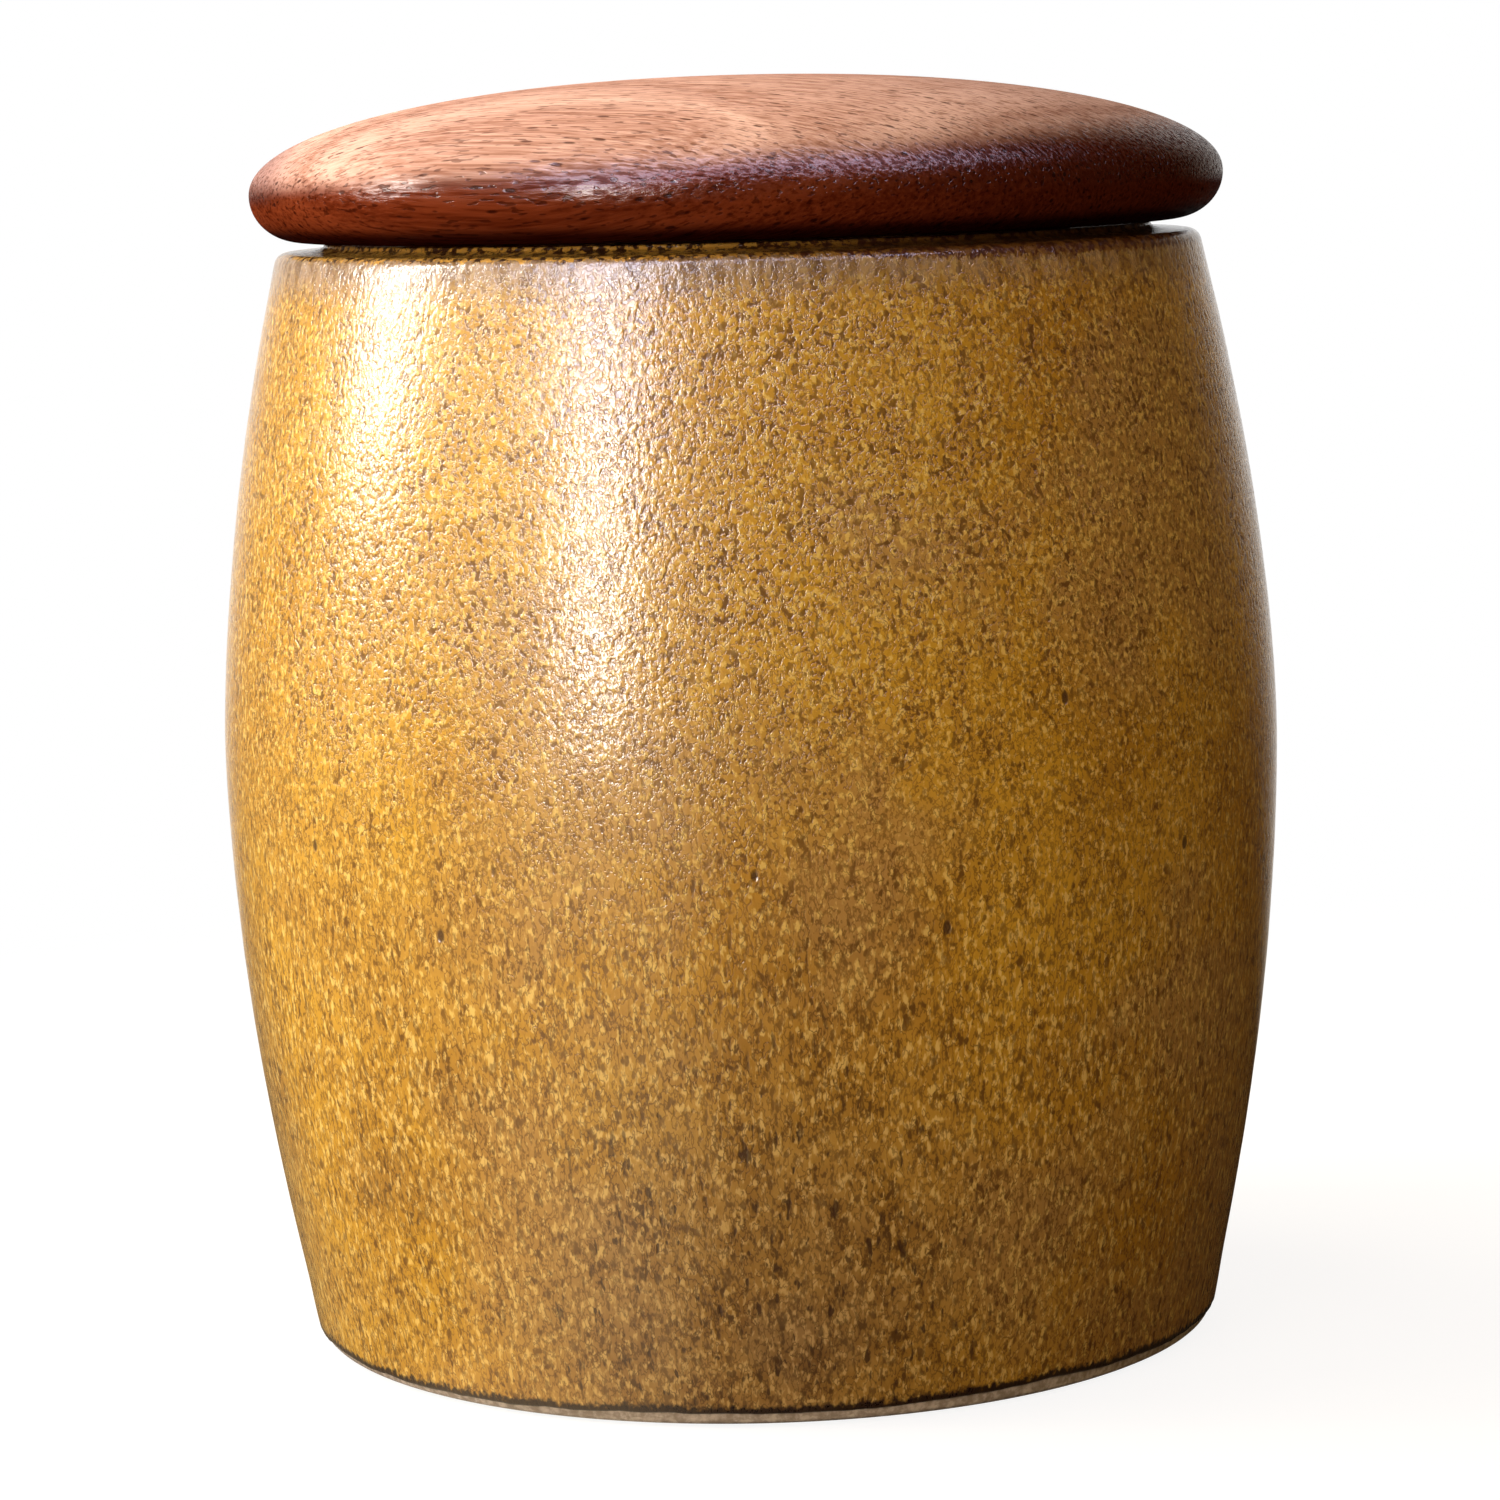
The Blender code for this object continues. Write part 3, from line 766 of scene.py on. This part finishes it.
def build_lid():
    lid = turned("turned_lid", lid_profile(), SEGMENTS)
    lid.data.set_sharp_from_angle(angle=SHARP_ANGLE)
    lid.data.materials.append(wood_material())
    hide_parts("lid")
    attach(lid, "lid_body")


# Lid: its wood, whose grain runs along the first axis of the turned place

GRAIN_TURN = 30.0
SWAY_STRETCH = (14.0, 22.0, 22.0)
SWAY_NOISE = (1.0, 2.0, 0.5)
SWAY_REACH = 0.010
PITH_HEIGHT = 0.060
PITH_SLOPE = 0.05
RING_SCALE = 210.0
RING_DRIFT = 3.0
RING_NOISE = (1.0, 3.0, 0.6)
FIBRE_STRETCH = (75.0, 1900.0, 1900.0)
FIBRE_NOISE = (1.0, 3.0, 0.6)
PORE_STRETCH = (420.0, 2100.0, 2100.0)
PORE_NOISE = (1.0, 1.0, 0.4)
GASH_STRETCH = (240.0, 820.0, 820.0)

# Spans of a noise or of a cell's distance
PORE = (0.60, 0.68)
RARE_GASHES = (0.62, 0.66)
GASH = (0.28, 0.14)
RING_TONE = (0.34, 0.66)
LIGHT_FIBRES = (0.50, 0.66, 0.0, 0.50)
DARK_FIBRES = (0.50, 0.34, 0.0, 0.58)
WOOD_ROUGHNESS = (0.3, 0.7, 0.50, 0.40)
POLISHED_FIBRES = (0.42, 0.57, 0.16, 1.0)

# Spans of a place, in metres: the flank, its right and left ends, its underside and the plug
RIM_RADII = (0.0500, 0.0585)
FLANK_TOP = 0.1573
FLANK_FADE = 0.0036
FLANK_TILT = 0.042
RIGHT_SIDE = (-0.005, 0.056)
LEFT_END = (-0.0530, -0.0610)
LEFT_END_HEIGHTS = (0.1495, 0.1515)
UNDER_HEIGHTS = (0.1482, 0.1464)
PLUG_HEIGHTS = (0.1460, 0.1452)
POLISHED_TOP = 0.1602
POLISHED_FADE = 0.0040
POLISH = (0.10, 0.90)
POLISHED_FLANK = (0.1500, 0.1520, 0.04, 1.0)
POLISHED_SIDE = (-0.050, -0.032, 0.30, 1.0)

# How strongly the pores show, depths in metres, and gloss
PORE_SHARE = 0.60
GASH_SHARE = 0.80
DENT_DEPTH = 0.00005
FIBRE_DEPTH = 0.00015
UNDER_ROUGHNESS = 0.95
COAT_ROUGHNESS = 0.19
COAT_IOR = 1.7

# Colours of the wood, and shades that are multiplied with them: painted shade for the flank,
# the right side, the left end and the underside, and a darker tone for the plug
DARK_RING = (0.43, 0.212, 0.155)
LIGHT_RING = (0.68, 0.402, 0.320)
LIGHT_FIBRE = (0.82, 0.50, 0.40)
DARK_FIBRE = (0.19, 0.062, 0.030)
PORE_COLOUR = (0.090, 0.027, 0.016)
GASH_COLOUR = (0.065, 0.018, 0.012)
FLANK_PAINTED_SHADE = (0.22, 0.064, 0.024)
RIGHT_PAINTED_SHADE = (0.54, 0.52, 0.54)
LEFT_END_PAINTED_SHADE = (0.50, 0.45, 0.49)
UNDER_PAINTED_SHADE = (0.16, 0.10, 0.08)
PLUG_SHADE = (0.62, 0.52, 0.45)


def wood_material():
    """Oiled open-grained hardwood."""
    s = Shader("oiled_hardwood")
    place = s.place()
    turn = {"Vector": place, "Rotation": (0.0, 0.0, math.radians(GRAIN_TURN))}
    along = s.node("ShaderNodeMapping", turn).outputs["Vector"]
    sway = s.noise(s.stretch(along, SWAY_STRETCH), *SWAY_NOISE, output="Color")
    bent = s.shift(along, sway, SWAY_REACH)
    x, y, z = s.split(bent)

    # Growth rings about a pith below the board
    across = s.minus(y, s.times(x, PITH_SLOPE))
    depth = s.minus(z, PITH_HEIGHT)
    ring = s.times(s.length(across, depth), RING_SCALE)
    ring_ends = {0: ring, 1: 0.0, 2: s.times(x, RING_DRIFT)}
    ring_place = s.node("ShaderNodeCombineXYZ", ring_ends).outputs[0]
    band = s.noise(ring_place, *RING_NOISE)

    # Fibres, fine pores and sparse longer ones
    fibre = s.noise(s.stretch(bent, FIBRE_STRETCH), *FIBRE_NOISE)
    pore = s.noise(s.stretch(along, PORE_STRETCH), *PORE_NOISE)
    pore = s.span(pore, *PORE)
    cells = {"Vector": s.stretch(along, GASH_STRETCH), "Scale": 1.0}
    gash_cells = s.node("ShaderNodeTexVoronoi", cells)
    gash_rare = s.span(s.split(gash_cells.outputs["Color"])[1], *RARE_GASHES)
    gash = s.times(s.span(gash_cells.outputs["Distance"], *GASH), gash_rare)

    colour = s.blend(s.span(band, *RING_TONE), DARK_RING, LIGHT_RING)
    colour = s.blend(s.span(fibre, *LIGHT_FIBRES), colour, LIGHT_FIBRE)
    colour = s.blend(s.span(fibre, *DARK_FIBRES), colour, DARK_FIBRE)
    colour = s.blend(s.times(pore, PORE_SHARE), colour, PORE_COLOUR)
    colour = s.blend(s.times(gash, GASH_SHARE), colour, GASH_COLOUR)

    # Painted shade on the flank, the right side, the upper left end and the rim's underside,
    # and a darker plug
    plain = s.split(place)
    level = s.minus(plain[2], s.times(plain[0], FLANK_TILT))
    rim = s.span(s.length(plain[0], plain[1]), *RIM_RADII)
    # Painted shade down the flank
    painted_flank_shade = s.times(rim, s.span(level, FLANK_TOP, FLANK_TOP - FLANK_FADE))
    colour = s.blend(painted_flank_shade, colour, FLANK_PAINTED_SHADE, "MULTIPLY")
    # Painted shade on the right side of the lid
    colour = s.blend(s.span(plain[0], *RIGHT_SIDE), colour, RIGHT_PAINTED_SHADE, "MULTIPLY")
    # Painted shade at the upper left end of the lid
    end = s.times(s.span(plain[0], *LEFT_END), s.span(plain[2], *LEFT_END_HEIGHTS))
    colour = s.blend(end, colour, LEFT_END_PAINTED_SHADE, "MULTIPLY")
    # Painted shade under the rim of the lid
    under = s.times(rim, s.span(plain[2], *UNDER_HEIGHTS))
    colour = s.blend(under, colour, UNDER_PAINTED_SHADE, "MULTIPLY")
    colour = s.blend(s.span(plain[2], *PLUG_HEIGHTS), colour, PLUG_SHADE, "MULTIPLY")

    dents = s.plus(s.times(pore, -DENT_DEPTH), s.times(gash, -DENT_DEPTH))
    height = s.plus(dents, s.times(fibre, FIBRE_DEPTH))
    roughness = s.larger(s.span(fibre, *WOOD_ROUGHNESS), s.times(under, UNDER_ROUGHNESS))
    polish = s.span(plain[2], POLISHED_TOP, POLISHED_TOP - POLISHED_FADE, *POLISH)
    polish = s.times(polish, s.span(plain[2], *POLISHED_FLANK))
    polish = s.times(polish, s.span(fibre, *POLISHED_FIBRES))
    polish = s.times(polish, s.span(plain[0], *POLISHED_SIDE))
    coat = {"Coat_Weight": polish, "Coat_Roughness": COAT_ROUGHNESS, "Coat_IOR": COAT_IOR}
    return s.finish(colour, roughness, height, Specular_IOR_Level=0.0, **coat)


# Inner pieces. Their numbers are given as the glaze's are

# Pressed cork
GRANULE_SCALE = 620.0
GRANULE_TONE_POWER = 0.7
GRANULE_GAP = (0.10, 0.02)
GRANULE_GAP_SHARE = 0.50
GRANULE_GAP_DEPTH = 0.00010
CORK_NOISE = (1500.0, 3.0, 0.6)
CORK_FLECKS = (0.40, 0.65, 0.35, 0.0)
CORK_GRAIN_DEPTH = 0.00006
CORK_ROUGHNESS = 0.88
DARK_CORK = (0.42, 0.235, 0.115)
LIGHT_CORK = (0.62, 0.41, 0.235)
CORK_FLECK = (0.25, 0.115, 0.050)
GRANULE_GAP_COLOUR = (0.17, 0.075, 0.034)
GRANULE_WAVE_SCALE = 900.0
GRANULE_FINE_SCALE = 2100.0
GRANULE_FINE_SHARE = 0.5
GRANULE_WAVE_DEPTH = 0.00012

# Spun brass
TURNING_NOISE = (5200.0, 2.0, 0.6)
TURNING_ROUGHNESS = (0.3, 0.7, -0.03, 0.04)
TURNING_DEPTH = 0.000008
TARNISH_NOISE = (120.0, 4.0, 0.6)
TARNISH = (0.48, 0.70, 0.0, 0.55)
TARNISH_ROUGHNESS = (0.40, 0.70, 0.24, 0.42)
TARNISH_COLOUR = (0.34, 0.205, 0.085)
CASE_TINT = (0.70, 0.50, 0.235)
GRILLE_TINT = (0.76, 0.56, 0.275)

# Porous clay
DISC_GRAIN_NOISE = (1300.0, 4.0, 0.65)
DISC_TONE_NOISE = (140.0, 2.0, 0.5)
DISC_TONE = (0.35, 0.65)
DISC_FLECKS = (0.38, 0.66, 0.40, 0.0)
DISC_GRAIN_DEPTH = 0.00006
DISC_ROUGHNESS = 0.93
PIT_SCALE = 900.0
PIT = (0.30, 0.12)
PIT_SHARE = 0.6
PIT_DEPTH = 0.00012
DARK_DISC = (0.47, 0.19, 0.105)
LIGHT_DISC = (0.60, 0.28, 0.165)
DISC_FLECK = (0.33, 0.115, 0.060)
PIT_COLOUR = (0.16, 0.055, 0.030)


def cork_material():
    """Pressed cork granules of several browns, with dark gaps between them."""
    s = Shader("pressed_cork")
    place = s.place()
    cells = s.node("ShaderNodeTexVoronoi", {"Vector": place, "Scale": GRANULE_SCALE})
    tone = s.math("POWER", s.split(cells.outputs["Color"])[0], GRANULE_TONE_POWER)
    gap = s.cells(place, GRANULE_SCALE, "DISTANCE_TO_EDGE")
    dark = s.span(gap, *GRANULE_GAP)
    fine = s.noise(place, *CORK_NOISE)
    colour = s.blend(tone, DARK_CORK, LIGHT_CORK)
    colour = s.blend(s.span(fine, *CORK_FLECKS), colour, CORK_FLECK)
    colour = s.blend(s.times(dark, GRANULE_GAP_SHARE), colour, GRANULE_GAP_COLOUR)
    height = s.plus(s.times(dark, -GRANULE_GAP_DEPTH), s.times(fine, CORK_GRAIN_DEPTH))
    return s.finish(colour, CORK_ROUGHNESS, height)


def brass_material(name, tint):
    """Spun brass with fine turning lines and a little tarnish."""
    s = Shader(name)
    place = s.place()
    x, y, z = s.split(place)
    line_ends = {0: s.length(x, y), 1: z, 2: 0.0}
    line_place = s.node("ShaderNodeCombineXYZ", line_ends).outputs[0]
    lines = s.noise(line_place, *TURNING_NOISE)
    tarnish = s.noise(place, *TARNISH_NOISE)
    colour = s.blend(s.span(tarnish, *TARNISH), tint, TARNISH_COLOUR)
    rough = s.span(tarnish, *TARNISH_ROUGHNESS)
    roughness = s.plus(rough, s.span(lines, *TURNING_ROUGHNESS))
    height = s.times(lines, TURNING_DEPTH)
    return s.finish(colour, roughness, height, Metallic=1.0)


def clay_material():
    """Porous fired clay, pitted all over."""
    s = Shader("porous_clay")
    place = s.place()
    fine = s.noise(place, *DISC_GRAIN_NOISE)
    broad = s.noise(place, *DISC_TONE_NOISE)
    hole = s.span(s.cells(place, PIT_SCALE), *PIT)
    colour = s.blend(s.span(broad, *DISC_TONE), DARK_DISC, LIGHT_DISC)
    colour = s.blend(s.span(fine, *DISC_FLECKS), colour, DISC_FLECK)
    colour = s.blend(s.times(hole, PIT_SHARE), colour, PIT_COLOUR)
    height = s.plus(s.times(hole, -PIT_DEPTH), s.times(fine, DISC_GRAIN_DEPTH))
    return s.finish(colour, DISC_ROUGHNESS, height)


def granules(point):
    """A point of the cork's surface, moved in by the hollows between its granules."""
    outward = Vector((point.x, point.y, 0.0)).normalized()
    fine = abs(noise.noise(point * GRANULE_FINE_SCALE))
    hollow = abs(noise.noise(point * GRANULE_WAVE_SCALE)) + GRANULE_FINE_SHARE * fine
    middle = (SEAL_OUTER_RADIUS + SEAL_INNER_RADIUS) / 2
    side = 1.0 if outward.dot(point) > middle else -1.0
    return point - outward * side * GRANULE_WAVE_DEPTH * hollow


def build_seal():
    edge = SEAL_EDGE_ROUNDING
    outer = SEAL_OUTER_RADIUS - edge
    top, bottom = SEAL_TOP, SEAL_TOP - SEAL_HEIGHT
    last = top - SEAL_CLOSING_STEP
    profile = joined(
        line((SEAL_INNER_RADIUS, top), (outer, top), STEP_ROUNDING),
        arc((outer, top - edge), (edge, edge), 90, 0, STEP_EDGE),
        line((SEAL_OUTER_RADIUS, top - edge), (SEAL_OUTER_RADIUS, bottom + edge), STEP_BEND),
        arc((outer, bottom + edge), (edge, edge), 0, -90, STEP_EDGE),
        line((outer, bottom), (SEAL_INNER_RADIUS, bottom), STEP_ROUNDING),
        line((SEAL_INNER_RADIUS, bottom), (SEAL_INNER_RADIUS, last), STEP_FINE),
    )
    seal = turned_ring("cork_ring", profile, SEGMENTS, granules)
    seal.data.materials.append(cork_material())
    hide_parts("cork_seal_ring")
    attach(seal, "lid_body")


def build_case():
    edge = CASE_EDGE_ROUNDING
    lip = FLANGE_EDGE_ROUNDING
    bore = CASE_RADIUS - CASE_WALL
    inner_edge = edge - CASE_WALL
    under = -FLANGE_THICKNESS
    ceiling = CASE_DEPTH - CASE_WALL
    rounding = (FLANGE_RADIUS - lip, lip)
    profile = joined(
        line((0.0, CASE_DEPTH), (CASE_RADIUS - edge, CASE_DEPTH), STEP_BROAD),
        arc((CASE_RADIUS - edge, CASE_DEPTH - edge), (edge, edge), 90, 0, STEP_EDGE),
        line((CASE_RADIUS, CASE_DEPTH - edge), (CASE_RADIUS, 0.0), STEP_FINE),
        line((CASE_RADIUS, 0.0), (rounding[0], 0.0), STEP_FINE),
        arc((rounding[0], -lip), (lip, lip), 90, 0, STEP_HAIR),
        arc((rounding[0], under + lip), (lip, lip), 0, -90, STEP_HAIR),
        line((rounding[0], under), (bore, under), STEP_FINE),
        line((bore, under), (bore, CASE_DEPTH - edge), STEP_FINE),
        arc((bore - inner_edge, CASE_DEPTH - edge), (inner_edge, inner_edge), 0, 90, STEP_EDGE),
        line((bore - inner_edge, ceiling), (0.0, ceiling), STEP_BROAD),
    )
    profile = [(radius, CASE_BASE + height) for radius, height in profile]
    case = turned("spun_case", profile, CASE_SEGMENTS)
    case.data.set_sharp_from_angle(angle=SHARP_ANGLE)
    case.data.materials.append(brass_material("spun_brass", CASE_TINT))
    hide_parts("humidifier_case")
    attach(case, "humidifier")


def dress_inner_pieces():
    """Better materials for the pieces whose shape is the model's own."""
    finishes = {
        "humidifier_grille": brass_material("grille_brass", GRILLE_TINT),
        "humidifier_disc": clay_material(),
    }
    for node, material in finishes.items():
        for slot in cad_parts[node].material_slots:
            slot.material = material


# Studio

FLOOR_RADIUS = 2.4
FLOOR_DROP = 0.0002
FLOOR_COLOUR = (0.14, 0.125, 0.10, 1.0)
FLOOR_ROUGHNESS = 0.9
FLOOR_GLOW = 0.87
CLEAR_START = 0.10
CLEAR_RADIUS = 0.34
WHITE = (1.0, 1.0, 1.0)
SURROUND = (0.13, 0.088, 0.044, 1.0)
SIDE_TINT = (1.0, 0.78, 0.50)
RIGHT_GLOW = 0.015
LEFT_GLOW = 0.20
SIDE_GLOW = (0.3, -0.6, RIGHT_GLOW, LEFT_GLOW)
BEHIND = (0.80, 1.0)
TABLE_GLOW = 0.36
TABLE_GLOW_SIDE = (-0.50, -0.866)
TABLE_GLOW_SPAN = (0.90, 0.99, 0.0, TABLE_GLOW)
LAMP_DISTANCE = 1.20


def add_camera():
    """The camera that took the photograph, as fitted to the outline."""
    yaw, pitch, roll = (math.radians(a) for a in (CAMERA_YAW, CAMERA_PITCH, CAMERA_ROLL))
    level = (math.sin(yaw) * math.cos(pitch), math.cos(yaw) * math.cos(pitch))
    ahead = Vector((*level, math.sin(pitch)))
    right = Vector((math.cos(yaw), -math.sin(yaw), 0.0))
    up = right.cross(ahead)
    turned_right = right * math.cos(roll) + up * math.sin(roll)
    turned_up = up * math.cos(roll) - right * math.sin(roll)
    data = bpy.data.cameras.new("camera")
    data.sensor_width = SENSOR_WIDTH
    data.lens = FOCAL_PIXELS / PHOTO_PIXELS * SENSOR_WIDTH
    camera = bpy.data.objects.new("camera", data)
    axes = Matrix((turned_right, turned_up, -ahead)).transposed().to_4x4()
    camera.matrix_world = Matrix.Translation(CAMERA_PLACE) @ axes
    bpy.context.scene.collection.objects.link(camera)
    bpy.context.scene.camera = camera


def add_lamp(name, azimuth, elevation, size, power, colour, mirrored=True, lighting=True):
    """A soft panel that faces the jar. Azimuth 0 is the camera's side, 90 its left.

    The size is its width and height. mirrored is off where the panel only lights the jar, and
    lighting where it is only seen in the jar's gloss.
    """
    turn, rise = math.radians(azimuth), math.radians(elevation)
    level = (-math.sin(turn) * math.cos(rise), -math.cos(turn) * math.cos(rise))
    way = Vector((*level, math.sin(rise)))
    target = Vector((0.0, 0.0, BELLY_HEIGHT))
    data = bpy.data.lights.new(name, "AREA")
    data.shape = "RECTANGLE"
    data.size, data.size_y = size
    data.energy = power
    data.color = colour
    lamp = bpy.data.objects.new(name, data)
    lamp.location = target + way * LAMP_DISTANCE
    lamp.visible_glossy = mirrored
    lamp.visible_diffuse = lighting
    lamp.rotation_mode = "QUATERNION"
    lamp.rotation_quaternion = (-way).to_track_quat("-Z", "Y")
    bpy.context.scene.collection.objects.link(lamp)


def add_lamps():
    """All panels. Angles are in degrees, sizes in metres and powers in watts."""
    fill = {"mirrored": False}
    gloss = {"lighting": False}
    add_lamp("left_panel", 91, 25, (0.32, 0.66), 11.5, (1.0, 0.97, 0.91))
    add_lamp("front_left_strip", 32, 11, (0.22, 0.42), 4.4, (1.0, 0.98, 0.94), **gloss)
    add_lamp("front_left_panel", 34, 36, (0.50, 0.80), 8.0, (0.71, 0.76, 1.0), **gloss)
    add_lamp("front_fill", 36, 4, (0.80, 0.80), 12.6, (1.0, 0.90, 0.68), **fill)
    add_lamp("front_right_fill", -26, 26, (0.80, 0.80), 2.1, (1.0, 0.72, 0.24), **fill)
    add_lamp("sky_panel", -2, 80, (1.60, 0.62), 16.5, (0.76, 0.70, 1.0), **gloss)
    add_lamp("front_right_panel", -6, 58, (1.00, 0.44), 2.8, (0.78, 0.74, 1.0), **gloss)
    add_lamp("top_panel", 102, 46, (1.3, 1.3), 27.0, (1.0, 1.0, 0.93), **fill)
    add_lamp("back_right_fill", -142, 14, (1.4, 1.4), 7.6, (1.0, 0.74, 0.30), **fill)


def add_world():
    """White behind the object, and a soft dim surround that lights it."""
    world = bpy.data.worlds.new("studio")
    bpy.context.scene.world = world
    world.use_nodes = True
    s = Shader.of_tree(world.node_tree)
    s.nodes.clear()
    x, y, z = s.split(s.node("ShaderNodeTexCoord").outputs["Generated"])
    path = s.node("ShaderNodeLightPath").outputs
    beside = s.span(x, *SIDE_GLOW)
    mirrored = s.mix(s.span(y, *BEHIND), beside, 1.0)
    mirror = s.larger(path["Is Glossy Ray"], path["Is Transmission Ray"])
    strength = s.larger(path["Is Camera Ray"], s.times(mirror, mirrored))
    seen = s.larger(path["Is Camera Ray"], mirror)
    clear = s.larger(path["Is Camera Ray"], s.span(y, *BEHIND))
    tint = s.blend(clear, SIDE_TINT, WHITE)
    white = s.node("ShaderNodeBackground", {"Color": tint, "Strength": strength})
    dim = s.node("ShaderNodeBackground", {"Color": SURROUND, "Strength": 1.0})
    mix = s.node("ShaderNodeMixShader", {0: seen, 1: dim.outputs[0], 2: white.outputs[0]})
    s.node("ShaderNodeOutputWorld", {"Surface": mix.outputs[0]})


def floor_material():
    """Pale near the object, and like the surround in camera and mirror rays far from it."""
    s = Shader("pale_floor")
    x, y, z = s.split(s.place())
    far = s.length(x, y)
    path = s.node("ShaderNodeLightPath").outputs
    mirror = s.larger(path["Is Glossy Ray"], path["Is Transmission Ray"])
    beside = s.span(s.math("DIVIDE", x, far), *SIDE_GLOW)
    toward = s.plus(s.times(x, TABLE_GLOW_SIDE[0]), s.times(y, TABLE_GLOW_SIDE[1]))
    patch = s.span(s.math("DIVIDE", toward, far), *TABLE_GLOW_SPAN)
    beside = s.plus(beside, patch)
    behind = s.span(s.math("DIVIDE", y, far), *BEHIND)
    distant = s.span(far, CLEAR_START, CLEAR_RADIUS)
    away = s.larger(s.times(distant, path["Is Camera Ray"]), mirror)
    s.surface.inputs["Base Color"].default_value = FLOOR_COLOUR
    s.surface.inputs["Roughness"].default_value = FLOOR_ROUGHNESS
    s.surface.inputs["Emission Color"].default_value = (*WHITE, 1.0)
    s.feed(s.surface.inputs["Emission Strength"], s.times(path["Is Camera Ray"], FLOOR_GLOW))
    strength = s.larger(path["Is Camera Ray"], s.mix(behind, beside, 1.0))
    tint = s.blend(s.larger(path["Is Camera Ray"], behind), SIDE_TINT, WHITE)
    glow = s.node("ShaderNodeEmission", {"Color": tint, "Strength": strength})
    ends = {0: away, 1: s.surface.outputs[0], 2: glow.outputs[0]}
    mix = s.node("ShaderNodeMixShader", ends)
    s.feed(s.nodes["Material Output"].inputs["Surface"], mix.outputs[0])
    return s.material


def add_floor():
    """A pale floor that keeps the shadow near the object and fades to white far from it."""
    mesh = bpy.data.meshes.new("floor")
    corners = [(-1, -1), (1, -1), (1, 1), (-1, 1)]
    points = [(x * FLOOR_RADIUS, y * FLOOR_RADIUS, 0.0) for x, y in corners]
    mesh.from_pydata(points, [], [(0, 1, 2, 3)])
    floor = bpy.data.objects.new("floor", mesh)
    floor.location.z = -FLOOR_DROP
    bpy.context.scene.collection.objects.link(floor)
    mesh.materials.append(floor_material())
    floor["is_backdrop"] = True


def write_sizes():
    boxes = {"cad": CAD_BOX, "visual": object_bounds()}
    plain = {name: [list(corner) for corner in box] for name, box in boxes.items()}


bpy.context.scene.view_settings.view_transform = "Standard"
build_jar()
build_lid()
build_seal()
build_case()
dress_inner_pieces()
add_camera()
add_world()
add_floor()
add_lamps()
write_sizes()
